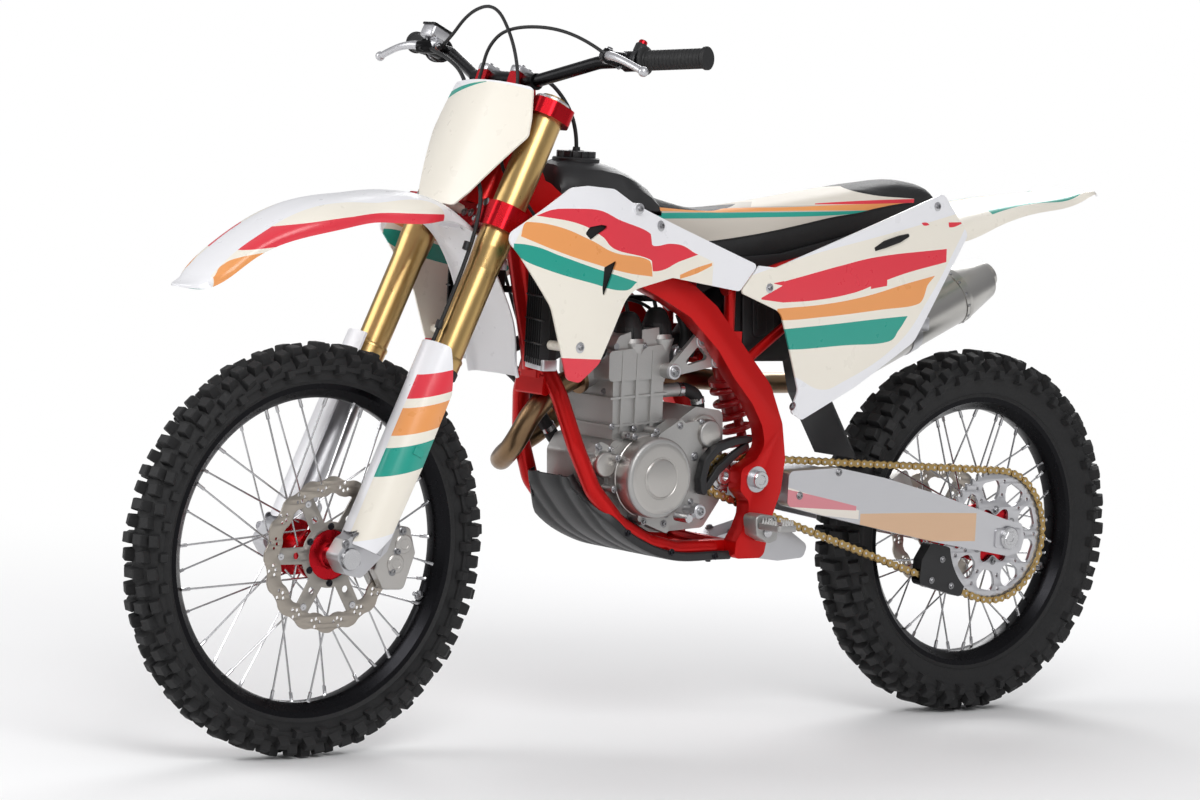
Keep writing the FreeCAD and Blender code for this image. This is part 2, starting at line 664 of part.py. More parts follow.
def controls():
    """Handlebar, grips, and the two lever sets."""
    halves = []
    for side in (1, -1):
        halves.append(bent_tube(handlebar_line(side), BAR_R, 70))
    middle = rod((BAR_AHEAD, -86, BAR_UP), (BAR_AHEAD, 86, BAR_UP), BAR_MIDDLE_R)
    keep("handlebar", lean(joined(halves + [middle])))
    grips = []
    sets = []
    for side in (1, -1):
        start, way = along_grip(side, 122)
        sleeve = Part.makeCylinder(GRIP_R, 126, start, way)
        sleeve = sleeve.fuse(Part.makeCylinder(24, 5, start, way))
        bar = Part.makeCylinder(BAR_R + 0.1, 122.1, start, way)
        grips.append(lean(sleeve.cut(bar)))
        sets.append(lean(lever_set(side)))
    keep("grips", Part.makeCompound(grips))
    keep("lever_sets", Part.makeCompound(sets))


def lever_set(side):
    """A lever with its bracket clamped to the bar; the right one carries a fluid chamber."""
    start, way = along_grip(side, 160)
    ring = Part.makeCylinder(18, 24, start, way)
    hole = Part.makeCylinder(BAR_R + 0.1, 120, start - way * 40, way)
    y = start.y
    body = Part.makeBox(34, 30, 18, Vector(start.x + 6, y - 15 + side * 10, start.z - 16))
    blade = top_plate([(start.x + 30, y + side * 2), (start.x + 48, y + side * 4),
                       (start.x + 50, y + side * 40), (start.x + 38, y + side * 128),
                       (start.x + 30, y + side * 128), (start.x + 34, y + side * 40)],
                      start.z - 14, start.z - 6, 4)
    blade.rotate(Vector(start.x + 36, y, start.z - 10), Vector(1, 0, 0), -side * 20)
    shapes = [ring, body, blade]
    if side < 0:
        shapes.append(Part.makeBox(44, 34, 30, Vector(start.x + 8, y - 14, start.z + 1)))
    return joined(shapes).cut(hole)


HOSE_ROUTE = [(56, -250, 921), (72, -206, 908), (76, -160, 896), (72, -112, 876),
              (66, -78, 844), (68, -62, 796), (72, -30, 742), (74, 24, 704), (71, 76, 672),
              (66, 102, 618), (58, 107, 520),
              (58, 107, 330), (56, 100, 240), (34, 76, 176), (-8, 70, 150), (-38, 72, 124),
              (-43, 74, 90)]
CLUTCH_CABLE = [(48, 246.6, 924), (64, 200, 944), (92, 120, 956), (106, 20, 944),
                (98, -24, 912), (81, -36, 866), (72, -38, 800), (50, -44, 730),
                (-10, -60, 696), (-90, -76, 660)]
CLUTCH_CABLE_LOW = [(1036, -88, 790), (968, -100, 650), (900, -104, 560), (858, -99, 508)]
THROTTLE_CABLE = [(40, -246.6, 928), (62, -196, 932), (96, -120, 976), (114, -30, 984),
                  (106, 40, 930), (82, 68, 872), (70, 68, 836), (64, 66, 776), (40, 62, 716),
                  (-20, 64, 696), (-84, 72, 664)]
THROTTLE_CABLE_LOW = [(1012, 66, 800), (900, 36, 776), (800, 8, 762), (746, 4, 720),
                      (742, 2, 700)]
VENT_HOSE = [(968, 0, 1022), (970, 2, 1052), (994, 6, 1100), (1036, 5, 1140)]


def hoses():
    """Brake hose, the two control cables and the vent hose of the tank."""
    keep("brake_hose", lean(bent_tube(HOSE_ROUTE, 3.5, 60)))
    clutch = [steered(*p) for p in CLUTCH_CABLE] + CLUTCH_CABLE_LOW
    throttle = [steered(*p) for p in THROTTLE_CABLE] + THROTTLE_CABLE_LOW
    vent = ahead(VENT_HOSE) + [steered(0, 0, 902), steered(0, 0, STEM_HOLE + 10)]
    keep("control_cables", Part.makeCompound([bent_tube(clutch, 3, 60),
                                              bent_tube(throttle, 3, 60),
                                              bent_tube(vent, 3.5, 40)]))


def front_brake():
    """The front caliper, behind the left leg, over the disc."""
    y0 = FRONT_DISC_Y - 20
    body = side_plate([(-94, 2), (-88, 66), (-58, 100), (-28, 92), (-18, 60), (-24, 8),
                       (-56, -14)], y0, LUG_IN - SEAT_FIT, 10)
    slot = Part.makeCylinder(FRONT_DISC_R + 4, DISC_THICK + 5,
                             Vector(AXLE_AHEAD, FRONT_DISC_Y - 2.5, 0), Vector(0, 1, 0))
    ear = side_plate([(-34, 84), (-34, 24), (-8, 24), (-2, 84)], LUG_IN - 14, LUG_IN - SEAT_FIT,
                     6)
    caliper = joined([body, ear]).cut(slot)
    keep("front_caliper", lean(caliper))


def front_fender():
    """The front fender, from its tip over the wheel to its tail behind the fork."""
    stations = [((1742, 796), 40, 46, 16), ((1690, 842), 36, 66, 22), ((1600, 898), 26, 82, 34),
                ((1500, 932), 12, 92, 44), ((1400, 944), 2, 97, 48), ((1320, 943), -8, 94, 44),
                ((1262, 921), -26, 70, 24), ((1220, 888), -44, 68, 10),
                ((1180, 836), -58, 68, 8), ((1146, 770), -67, 72, 10), ((1122, 700), -74, 74, 14),
                ((1108, 640), -80, 70, 16)]
    sections = [sheet_section((fore(spot[0]), spot[1]), -tilt, half, drop, PANEL)
                for spot, tilt, half, drop in stations]
    pad = lean(Part.makeBox(38, 60, 7, Vector(6, -30, LOWER_CLAMP[0] - SEAT_FIT - 7)))
    keep("front_fender", Part.makeLoft(sections, True, False).fuse(pad))


def number_plate():
    """The bowed number plate in front of the handlebar, with its lower peg."""
    bow = 300.0
    front = 92.0
    wall = 3.0
    centre = Vector(front - bow, 0, 600)
    shell = Part.makeCylinder(bow, 300, centre).cut(Part.makeCylinder(bow - wall, 300, centre))
    outline = rounded([(-48, 622, 12), (48, 622, 12), (70, 650), (92, 690), (133, 768, 18),
                       (126, 800), (108, 852, 10), (-108, 852, 10), (-126, 800), (-133, 768, 18),
                       (-92, 690), (-70, 650)], 20, lambda p: Vector(0, p.x, p.y))
    zone = Part.Face(outline).extrude(Vector(200, 0, 0))
    peg = Part.makeCylinder(8, front - 1 - (FORK_OFFSET + 12), Vector(FORK_OFFSET + 12, 0, 636),
                            Vector(1, 0, 0))
    plate = shell.common(zone)
    keep("number_plate", lean(plate.fuse(peg)))


def frame():
    """Steering head with its down tube, side beams, engine cradle and seat subframe."""
    head_low = LOWER_CLAMP[1] + HEAD_GAP
    head_high = UPPER_CLAMP[0] - HEAD_GAP
    head = lean(Part.makeCylinder(HEAD_R, head_high - head_low, Vector(0, 0, head_low)))
    neck = side_plate(ahead([(1130, 935), (1112, 1010), (1060, 985), (1030, 925), (1046, 850),
                             (1098, 850), (1104, 893)]), -NECK_HALF, NECK_HALF, 8)
    down = bent_tube(ahead([(1082, 0, 880), (1058, 0, 780), (1036, 0, 690), (1028, 0, 650)]),
                     DOWN_TUBE_R, 300)
    body = joined([head, neck, down])
    bore = lean(Part.makeCylinder(STEM_R + 2, 300, Vector(0, 0, 600)))
    keep("steering_head", body.cut(bore))
    inner = SPAR_OUT_WIDE - SPAR_WALL + 4
    tower_x = fore(676)
    tower = rod((tower_x, -inner, 668), (tower_x, inner, 668), 12)
    ears = []
    for side in (1, -1):
        low, high = sorted((side * 22.3, side * 28))
        ears.append(side_plate(ahead([(606, 692), (614, 706), (632, 700), (690, 674), (690, 656),
                                      (668, 656), (612, 682)]), low, high, 6))
    keep("frame_spars", joined([side_beam(side) for side in (1, -1)] + [tower] + ears))
    keep("cradle", cradle().cut(PARTS["steering_head"]).cut(PARTS["frame_spars"]))
    keep("subframe", subframe().cut(PARTS["frame_spars"]))


def spar_band(grow=0):
    """The left side beam seen from above: its inner and outer faces along the machine."""
    w = SPAR_WALL
    return ahead([(1112, NECK_HALF - grow), (1112, NECK_HALF + 22 + grow),
                  (1056, SPAR_OUT_FRONT + grow, 60), (860, SPAR_OUT_WIDE - 4 + grow, 120),
                  (560, SPAR_OUT_WIDE + grow), (540, SPAR_OUT_WIDE + grow),
                  (540, SPAR_OUT_WIDE - w - grow), (600, SPAR_OUT_WIDE - w - grow),
                  (850, SPAR_OUT_WIDE - 4 - w - grow, 120), (1040, NECK_HALF - grow, 60)])


SPAR_SIDE = [(1110, 985), (1066, 968), (1040, 946), (870, 838), (790, 800), (740, 766),
             (676, 700, 80), (608, 628, 60), (576, 560, 60), (565, 498, 60), (571, 440, 60),
             (590, 390, 40), (603, 322, 16), (669, 322, 10), (667, 352, 8), (654, 372, 20),
             (643, 398, 24), (642, 422, 16), (664, 442, 14), (664, 480, 14), (632, 496, 18),
             (613, 520, 30), (622, 556, 40), (648, 596, 60), (690, 638, 60), (732, 690, 40),
             (800, 748, 40), (1040, 866), (1086, 876),
             (1106, 906), (1110, 925)]


def side_beam(side):
    """A side beam of the frame, from the steering head down to the swingarm pivot."""
    beam = side_plate(ahead(SPAR_SIDE), 0, 200, 14).common(top_plate(spar_band(), 250, 1100))
    beam = beam.cut(rod((PIVOT[0], 0, PIVOT[1]), (PIVOT[0], 200, PIVOT[1]), PIVOT_BOLT_R + 0.1))
    return beam if side > 0 else mirrored(beam)


RAIL_ROUTE = [(1030, 20, 660), (1018, 54, 604), (996, 78, 520), (962, 88, 446),
              (905, RAIL_Y, 386), (838, RAIL_Y, 352), (775, RAIL_Y, RAIL_Z),
              (690, RAIL_Y, RAIL_Z)]


def cradle():
    """Two tubes that run under the engine, from the foot of the down tube to the side beams."""
    tubes = []
    inner = SPAR_OUT_WIDE - SPAR_WALL
    for side in (1, -1):
        tubes.append(bent_tube([(x, side * y, z) for x, y, z in ahead(RAIL_ROUTE)], RAIL_R, 60))
        block_y0, block_y1 = sorted((side * (RAIL_Y - 14), side * (inner + 2)))
        tubes.append(Part.makeBox(90, block_y1 - block_y0, 28,
                                  Vector(610, block_y0, RAIL_Z - 14)))
    cap = top_plate(ahead([(1006, -30), (1046, -26), (1046, 26), (1006, 30)]), 633, 659, 6)
    web = side_plate(ahead([(1010, 640), (1042, 640), (1044, 604), (1032, 604), (1012, 624)]),
                     -38, 38, 4)
    cross = rod((640, -RAIL_Y, RAIL_Z), (640, RAIL_Y, RAIL_Z), 12)
    return joined(tubes + [cap, web, cross])


def subframe():
    """The tubes that carry the seat."""
    shapes = []
    for side in (1, -1):
        shapes.append(bent_tube(ahead([(690, side * 86, 792), (560, side * 80, 832),
                                       (420, side * 76, 864), (306, side * 72, 886)]),
                                SUBFRAME_R, 80))
        shapes.append(rod((636, side * 86, 664), (330, side * 74, 872), SUBFRAME_R - 2))
        low, high = sorted((side * 74, side * (SPAR_OUT_WIDE - SPAR_WALL + 2)))
        shapes.append(Part.makeBox(40, high - low, 30, Vector(fore(655), low, 690)))
        shapes.append(rod((fore(672), side * 84, 700), (fore(676), side * 86, 796),
                          SUBFRAME_R - 1))
    shapes.append(rod((316, -72, 884), (316, 72, 884), SUBFRAME_R))
    return joined(shapes)


def engine():
    """The crankcase with its covers, the cylinder with its head, and the intake."""
    crankcase()
    cylinder()
    body = rod((772 - SEAT_FIT, 0, 668.1), (716, 0, 680.1), 32)
    boot = bent_tube([(718, 0, 680), (702, 0, 698), (664, 0, 748), (630, 0, 768)], 26, 60)
    band = rod((756, 0, 671.5), (746, 0, 673.6), 34)
    keep("throttle_body", joined([body, band, boot]))


def cover(centre, y, height, radius, edge):
    """A round engine cover with a rounded rim; a negative height faces the right side."""
    way = Vector(0, 1 if height > 0 else -1, 0)
    disc_body = Part.makeCylinder(radius, abs(height), Vector(centre[0], y, centre[1]), way)
    outer = [e for e in disc_body.Edges if abs(e.CenterOfMass.y - y - height) < 0.01
             and abs(e.CenterOfMass.x - centre[0]) < radius * 0.1]
    return disc_body.makeFillet(edge, outer)


def bosses(centre, y0, y1, reach, radius, angles):
    """Bolt bosses round a cover."""
    low, high = sorted((y0, y1))
    made = []
    for angle in angles:
        a = math.radians(angle)
        spot = Vector(centre[0] + reach * math.cos(a), low, centre[1] + reach * math.sin(a))
        made.append(Part.makeCylinder(radius, high - low, spot, Vector(0, 1, 0)))
    return made


def crankcase():
    """The crankcase: ignition and starter covers on the left, clutch and pump on the right."""
    side = CHAIN_Y - CHAIN_HALF_WIDTH - 1
    case = side_plate([(664, 420), (700, 372), (800, 366), (822, 368), (890, 402), (926, 440),
                       (930, 500), (912, 528), (796, 546), (730, 586), (668, 578), (664, 520)],
                      -86, side, 14)
    gearbox = side_plate([(724, 400), (780, 380), (846, 384), (916, 436), (922, 500), (880, 532),
                          (806, 552), (724, 566)], side, GEARBOX_FACE, 20)
    rim = side_plate([(772, 410), (850, 388), (914, 438), (922, 498), (876, 540), (800, 546),
                      (768, 500)], side, 98, 24)
    ignition = cover(CRANK, 94, 42, 70, 7)
    nose = cover(CRANK, 130, 9, 26, 2)
    ridge = side_plate([(838, 540), (788, 568), (762, 548), (770, 500), (838, 520)], side, 108, 8)
    starter = cover((712, 540), 60, 40, 24, 4)
    starter_flange = Part.makeCylinder(31, 22, Vector(712, 60, 540), Vector(0, 1, 0))
    oil = cover((937, 489), 62, 32, 22, 4)
    oil_neck = side_plate([(900, 500), (926, 520), (950, 530), (958, 508), (940, 470), (900, 460)],
                          60, 84, 8)
    foot = side_plate([(800, 366), (872, 392), (866, 414), (800, 404)], side, 104, 6)
    clutch = cover((760, 470), -88, -34, 78, 6)
    clutch_ring = Part.makeCylinder(86, 14, Vector(760, -86, 470), Vector(0, -1, 0))
    pump = cover((872, 452), -84, -30, 36, 5)
    pump_outlet = rod((880, -100, 480), (908, -100, 520), 12)
    timing = side_plate([(820, 400), (890, 412), (916, 450), (900, 500), (850, 530), (800, 520)],
                        -98, -84, 16)
    nut = Part.makeCylinder(chain_floor(FRONT_TEETH), 10,
                            Vector(FRONT_SPROCKET[0], side, FRONT_SPROCKET[1]), Vector(0, 1, 0))
    left_bolts = bosses(CRANK, side, 104, 79, 6.5, (25, 62, 98, 150, 195, 238, 275, 345))
    right_bolts = bosses((760, 470), -86, -108, 82, 6.5, (10, 50, 90, 130, 170, 210, 250, 290, 330))
    keep("crankcase", joined([case, gearbox, rim, ignition, nose, ridge, starter, starter_flange,
                              oil, oil_neck, foot, clutch, clutch_ring, pump, pump_outlet, timing,
                              nut] + left_bolts + right_bolts))


def cylinder():
    """The cylinder and head with their flanges, coil covers, water pipe and frame bracket."""
    barrel = side_plate([(796, 538), (906, 520), (912, 640), (800, 650)], -66, 66, 10)
    head = side_plate([(790, 636), (924, 630), (926, 682), (794, 696)], -70, 70, 8)
    lid = side_plate([(796, 690), (916, 680), (900, 708), (874, 716), (812, 724), (794, 712)],
                     -62, 62, 10)
    flanges = [side_plate([(792, z + 3), (918, z - 6), (918, z - 2), (792, z + 7)], -70, 70)
               for z in (556, 604)]
    ribs = []
    for side in (1, -1):
        low, high = sorted((side * 64, side * 71))
        for x in (822, 856, 888):
            ribs.append(side_plate([(x, 540), (x + 7, 540), (x + 9, 684), (x + 2, 684)], low,
                                   high))
    boots = []
    for x, z in ((861, 704), (799, 712)):
        boots.append(Part.makeCylinder(21, 22, Vector(x, 40, z), Vector(0.1, 0, 1)))
        boots.append(Part.makeCone(19, 13, 19, Vector(x + 2.1, 40, z + 21), Vector(0.1, 0, 1)))
        boots.append(Part.makeCone(21, 5, 56, Vector(x, 55, z - 8), Vector(-0.06, 0, -1)))
    port = rod((900, 0, 650), (938, 0, 634), 27)
    intake = rod((800, 0, 662), (772, 0, 668), 27)
    spigot = rod((802, 50, 611), (756, 50, 614), 12)
    hose = bent_tube([(757, 50, 614), (722, 50, 612), (702, 48, 592), (700, 46, 570)], 10.5, 26)
    bracket = side_plate([(808, 640), (812, 656), (752, 716), (733, 716), (693, 676), (696, 660),
                          (712, 658)], 86, 95, 10)
    window = side_plate([(788, 656), (748, 695), (722, 672)], 80, 100, 6)
    inner = SPAR_OUT_WIDE - SPAR_WALL - 1.5
    ends = [rod((741, 82, 704), (741, inner, 704), 12), rod((704, 82, 669), (704, inner, 669), 12),
            rod((800, 66, 649), (800, inner, 649), 13)]
    bracket = joined([bracket.cut(window)] + ends).cut(PARTS["frame_spars"])
    upper = joined([barrel, head, lid, port, intake, spigot, hose, bracket] + flanges + ribs + boots)
    keep("cylinder", upper.cut(PARTS["crankcase"]))


def exhaust():
    """The header pipe with its curl, and the silencer."""
    route = [(938.3, 0, 633.9), (984, 0, 614.7), (1028, -6, 572), (1044, -34, 510),
             (1022, -102, 474), (970, -148, 488), (908, -147, 520), (850, -134, 572),
             (790, -100, 604), (735, -66, 620), (660, -62, 624), (590, -66, 620),
             (500, -96, 610), (400, -134, 606), (296, -150, 604)]
    header = bent_tube(route, 19, 90)
    flange = rod((938.3, 0, 633.9), (946, 0, 630.7), 30)
    header = joined([header, flange])
    keep("exhaust_header", header)
    a = (296, -150, 604)
    b = (-150, -150, 802)
    along = Vector(*b) - Vector(*a)
    along.normalize()
    front = Vector(*a)
    cone = Part.makeCone(21, 52, 60, front, along)
    can = Part.makeCylinder(54, CAN_LENGTH, front + along * 60, along)
    tail_start = front + along * (60 + CAN_LENGTH)
    tail = Part.makeCone(54, 40, 80, tail_start, along)
    tip = Part.makeCylinder(24, 20, tail_start + along * 80, along)
    hole = Part.makeCylinder(20, 60, tail_start + along * 45, along)
    bands = [Part.makeCylinder(55.5, 12, front + along * reach, along)
             for reach in (62, 60 + CAN_LENGTH - 14)]
    keep("silencer", joined([cone, can, tail, tip] + bands).cut(hole).cut(header))


def parallel(line, distance):
    """An open line of (x, z) points moved by the distance to its right-hand side."""
    moved = []
    for i, (x, z) in enumerate(line):
        before = line[max(i - 1, 0)]
        after = line[min(i + 1, len(line) - 1)]
        first = math.atan2(z - before[1], x - before[0]) if i > 0 else None
        second = math.atan2(after[1] - z, after[0] - x) if i < len(line) - 1 else first
        first = second if first is None else first
        turn = (first + second) / 2
        reach = distance / math.cos((second - first) / 2)
        moved.append((x + reach * math.sin(turn), z - reach * math.cos(turn)))
    return moved


def skid_plate():
    """The guard under the engine, a sheet bent along the rails, with turned-up sides."""
    rails = [(x, z) for x, y, z in reversed(ahead(RAIL_ROUTE[3:]))]
    line = [(670, RAIL_Z)] + rails[1:] + [(rails[-1][0] + 10, rails[-1][1] + 22)]
    top = parallel(line, RAIL_R + SEAT_FIT)
    low = parallel(line, RAIL_R + SEAT_FIT + SKID_THICK)
    sheet = side_plate(low + top[::-1], -SKID_HALF, SKID_HALF)
    half = [(660, SKID_HALF), (925, SKID_HALF), (958, 106), (980, 88), (1002, 56)]
    plan = ahead(half + [(x, -y) for x, y in reversed(half)])
    sheet = sheet.common(top_plate(plan, 300, 500, 16))
    wing = parallel(line[:-2], RAIL_R + SEAT_FIT + SKID_THICK / 2)
    wing = wing + parallel(line[:-2], -24)[::-1]
    sides = []
    for side in (1, -1):
        low_y, high_y = sorted((side * (SKID_HALF - PANEL), side * SKID_HALF))
        sides.append(side_plate(wing, low_y, high_y, 4))
    keep("skid_plate", joined([sheet] + sides))


def swingarm():
    """The swingarm: two tapered beams, a cross piece and the pivot bosses."""
    side = [(-34, 366), (-42, 340), (-34, 312), (0, 306), (178, 336), (391, 378), (548, 412),
            (548, 474), (431, 478), (319, 458), (180, 424), (0, 372)]
    shapes = []
    for sign in (1, -1):
        low, high = sorted((sign * 97, sign * 125))
        shapes.append(side_plate(side, low, high, 12))
        low, high = sorted((sign * 52, sign * 74))
        shapes.append(side_plate([(540, 424), (PIVOT[0], PIVOT[1] - 24), (PIVOT[0] + 22, PIVOT[1]),
                                  (PIVOT[0], PIVOT[1] + 24), (540, 476)], low, high, 20))
    shapes.append(top_plate([(545, 74), (548, 124), (430, 124), (400, 98), (400, -98),
                             (430, -124), (548, -124), (545, -74), (520, -50), (520, 50)],
                            418, 470, 6))
    bolt_end = SPAR_OUT_WIDE + 9
    shapes.append(rod((PIVOT[0], -bolt_end, PIVOT[1]), (PIVOT[0], bolt_end, PIVOT[1]),
                      PIVOT_BOLT_R))
    for sign in (1, -1):
        shapes.append(rod((PIVOT[0], sign * (SPAR_OUT_WIDE + SEAT_FIT), PIVOT[1]),
                          (PIVOT[0], sign * bolt_end, PIVOT[1]), 15))
    shock_line = Vector(*SHOCK_FOOT) - Vector(*SHOCK_TOP)
    window = Part.makeCylinder(42, 400, Vector(*SHOCK_TOP), shock_line)
    body = joined(shapes).cut(window)
    slot = side_plate([(-22, 327), (30, 327), (30, 353), (-22, 353)], -200, 200, 12)
    keep("swingarm", body.cut(slot))
    out = 133
    shapes = [rod((0, -out, REAR_AXLE[1]), (0, out, REAR_AXLE[1]), REAR_AXLE_R)]
    shapes.append(rod((0, CHAIN_Y - SPROCKET_THICK / 2 + RUNNING_GAP, REAR_AXLE[1]),
                      (0, 97 - SEAT_FIT, REAR_AXLE[1]), 18))
    shapes.append(rod((0, -REAR_HUB_HALF - RUNNING_GAP, REAR_AXLE[1]),
                      (0, -97 + SEAT_FIT, REAR_AXLE[1]), 20))
    shapes.append(rod((0, 125 + SEAT_FIT, REAR_AXLE[1]), (0, out, REAR_AXLE[1]), 17))
    shapes.append(rod((0, -125 - SEAT_FIT, REAR_AXLE[1]), (0, -out, REAR_AXLE[1]), 17))
    keep("rear_axle", joined(shapes))
    guide = side_plate([(84, 228), (190, 256), (188, 300), (166, 332), (120, 322), (72, 262)],
                       74, 96.7, 10)
    lower = belt_outline(chain_radius(FRONT_TEETH) + CHAIN_HALF_HEIGHT + 2,
                         chain_radius(REAR_TEETH) + CHAIN_HALF_HEIGHT + 2)
    lower_in = belt_outline(chain_radius(FRONT_TEETH) - CHAIN_HALF_HEIGHT - 2,
                            chain_radius(REAR_TEETH) - CHAIN_HALF_HEIGHT - 2)
    band = Part.Face(lower).cut(Part.Face(lower_in)).Faces[0]
    tunnel = band.extrude(Vector(0, 2 * CHAIN_HALF_WIDTH + 1, 0))
    tunnel.translate(Vector(0, -0.5, 0))
    swept = Part.makeCylinder(REAR_DISC_R, 40, Vector(0, 60, REAR_AXLE[1]), Vector(0, 1, 0))
    keep("chain_guide", guide.cut(tunnel).cut(swept))


def suspension():
    """The shock absorber with its coil spring, and the linkage below the swingarm."""
    top = Vector(*SHOCK_TOP)
    foot = Vector(*SHOCK_FOOT)
    way = foot - top
    length = way.Length
    way.normalize()
    body = Part.makeCylinder(26, 100, top + way * 30, way)
    neck = Part.makeCylinder(15, 40, top, way)
    eye = Part.makeCylinder(16, 44, top + Vector(0, -22, 0), Vector(0, 1, 0))
    collar = Part.makeCylinder(38, 9, top + way * SPRING_START, way)
    seat = Part.makeCylinder(38, 9, top + way * (SPRING_START + SPRING_LENGTH - 9), way)
    shaft = Part.makeCylinder(9, length - 120, top + way * 120, way)
    end = Part.makeCylinder(12, 32, foot + Vector(0, -16, 0), Vector(0, 1, 0))
    run = SPRING_LENGTH - 14
    helix = Part.makeLongHelix(run / SPRING_TURNS, run, SPRING_R)
    wire = Part.Wire(Part.Circle(Vector(SPRING_R, 0, 0), Vector(0, 1, 0), SPRING_WIRE_R).toShape())
    coil = Part.Wire(helix).makePipeShell([wire], True, True)
    coil.Placement = FreeCAD.Placement(top + way * (SPRING_START + 7),
                                       FreeCAD.Rotation(Vector(0, 0, 1), way))
    keep("shock_absorber", joined([body, neck, eye, collar, seat, shaft, end, coil]))
    rocker = side_plate([(480, 300), (606, 316), (627.7, 328, 2), (627.7, 348, 2), (560, 364),
                         (526, 372, 3), (484, 372, 3), (440, 345), (410, 326), (420, 304)],
                        -30, 30, 12)
    keep("linkage", rocker)


def rider_controls():
    """Footpegs, gear lever and brake pedal."""
    shapes = []
    inner = SPAR_OUT_WIDE - 6
    for side in (1, -1):
        low, high = sorted((side * inner, side * 166))
        shapes.append(side_plate([(600, 356), (650, 356), (654, 400), (604, 400)], low, high, 8))
        low, high = sorted((side * 160, side * 222))
        shapes.append(top_plate([(600, low), (652, low), (648, high), (604, high)], 378, 398, 8))
    left = joined(shapes[:2])
    right = joined(shapes[2:])
    shift = joined([rod((754, GEARBOX_FACE + SEAT_FIT, 408), (754, 128, 408), 8),
                    bent_tube([(754, 122, 408), (784, 132, 398), (812, 146, 402)], 6, 40),
                    rod((812, 138, 402), (812, 174, 402), 8)])
    pedal = joined([rod((638, -inner, 341), (638, -150, 341), 10),
                    bent_tube([(638, -144, 341), (730, -148, 350), (812, -150, 378)], 6, 60),
                    rod((812, -140, 378), (812, -174, 378), 9)])
    fixed = [piece.cut(PARTS["frame_spars"]) for piece in (left, right, pedal)]
    keep("foot_controls", Part.makeCompound(fixed + [shift]))


def intake_and_cooling():
    """Airbox with the flap behind it, and the radiators."""
    box = side_plate([(644, 664), (640, 800), (560, 826), (360, 852), (360, 800), (440, 720),
                      (520, 664)], -50, 60, 14)
    shock_line = Vector(*SHOCK_FOOT) - Vector(*SHOCK_TOP)
    shock_room = Part.makeCylinder(44, 460, Vector(*SHOCK_TOP) - shock_line * 0.06, shock_line)
    flap = side_plate([(446, 724), (408, 598), (334, 486), (331, 488), (404, 600), (440, 728)],
                      -52, 60)
    keep("airbox", box.fuse(flap).cut(shock_room).cut(PARTS["throttle_body"]))
    cores = []
    for side in (1, -1):
        core = radiator()
        cores.append(core if side > 0 else mirrored(core))
    keep("radiators", Part.makeCompound(cores))


def radiator():
    """The left radiator: its core between two tanks, and upright louvres in front."""
    low, high = (52, 142)
    core = top_plate(ahead([(1064, low), (1084, low), (1118, high), (1098, high)]), 670, 820, 3)
    tanks = [top_plate(ahead([(1062, low), (1094, low), (1128, high), (1096, high)]), z, z + 18, 5)
             for z in (656, 812)]
    shapes = [core] + tanks
    for k in range(LOUVRES):
        y = low + 4 + k * (high - low - 8) / (LOUVRES - 1)
        x = 1083 + (1118 - 1084) / (high - low) * (y - low)
        shapes.append(top_plate(ahead([(x, y), (x + 12, y - 5), (x + 13, y - 2.6),
                                       (x + 1, y + 2.4)]), 664, 818))
    shapes.append(rod((fore(1062), DOWN_TUBE_R, 780), (fore(1070), 60, 780), 6))
    return joined(shapes)


def tank_and_seat():
    """Fuel tank with its cap, and the seat."""
    def slab(x0, x1, half0, half1, z, radius):
        return rounded(ahead([(x0, -half0), (x1, -half1), (x1, half1), (x0, half0)]), radius,
                       lambda p: Vector(p.x, p.y, z))
    lower = Part.makeLoft([slab(812, 950, 46, 44, 806, 16), slab(840, 985, 50, 46, 900, 16),
                           slab(850, 1000, 56, 46, 934, 16)], True, True)
    upper = Part.makeLoft([slab(862, 1030, 118, 58, 924, 24), slab(868, 1046, 120, 66, 955, 26),
                           slab(884, 1040, 100, 56, 992, 26), slab(900, 1022, 70, 40, 1012, 24)],
                          True, True)
    cap = Part.makeCylinder(34, 16, Vector(fore(968), 0, 1008))
    tank = joined([lower, upper, cap])
    for side in (1, -1):
        tank = tank.cut(side_beam_space(side))
    keep("fuel_tank", tank.cut(Part.makeBox(60, 60, 200, Vector(fore(1029), -30, 840))))
    stations = [(884, 976, 905, 44), (800, 946, 872, 62), (700, 930, 830, 72),
                (560, 944, 843.6, 82), (420, 966, 875.6, 84), (306, 983, 897.6, 80),
                (200, 992, 934, 72), (152, 966, 942, 60)]
    sections = []
    for x, top, low, half in ahead(stations):
        corner = min(18, (top - low) * 0.4)
        sections.append(rounded([(-half, low, 4), (half, low, 4),
                                 (half - 4, top - 10, corner), (half * 0.4, top, 60),
                                 (-half * 0.4, top, 60), (-half + 4, top - 10, corner)],
                                10, lambda p, x=x: Vector(x, p.x, p.y)))
    seat = Part.makeLoft(sections, True, True)
    keep("seat", seat.cut(tank))


def side_beam_space(side):
    """The room a side beam needs, with a little air."""
    beam = side_plate(ahead(SPAR_SIDE_WIDE), 0, 200, 14)
    band = top_plate(spar_band(2.0), 250, 1100)
    shape = beam.common(band)
    return shape if side > 0 else mirrored(shape)


SPAR_SIDE_WIDE = [(1114, 992), (1064, 972), (1036, 950), (868, 842), (788, 805), (700, 745),
                  (700, 600), (1114, 860)]


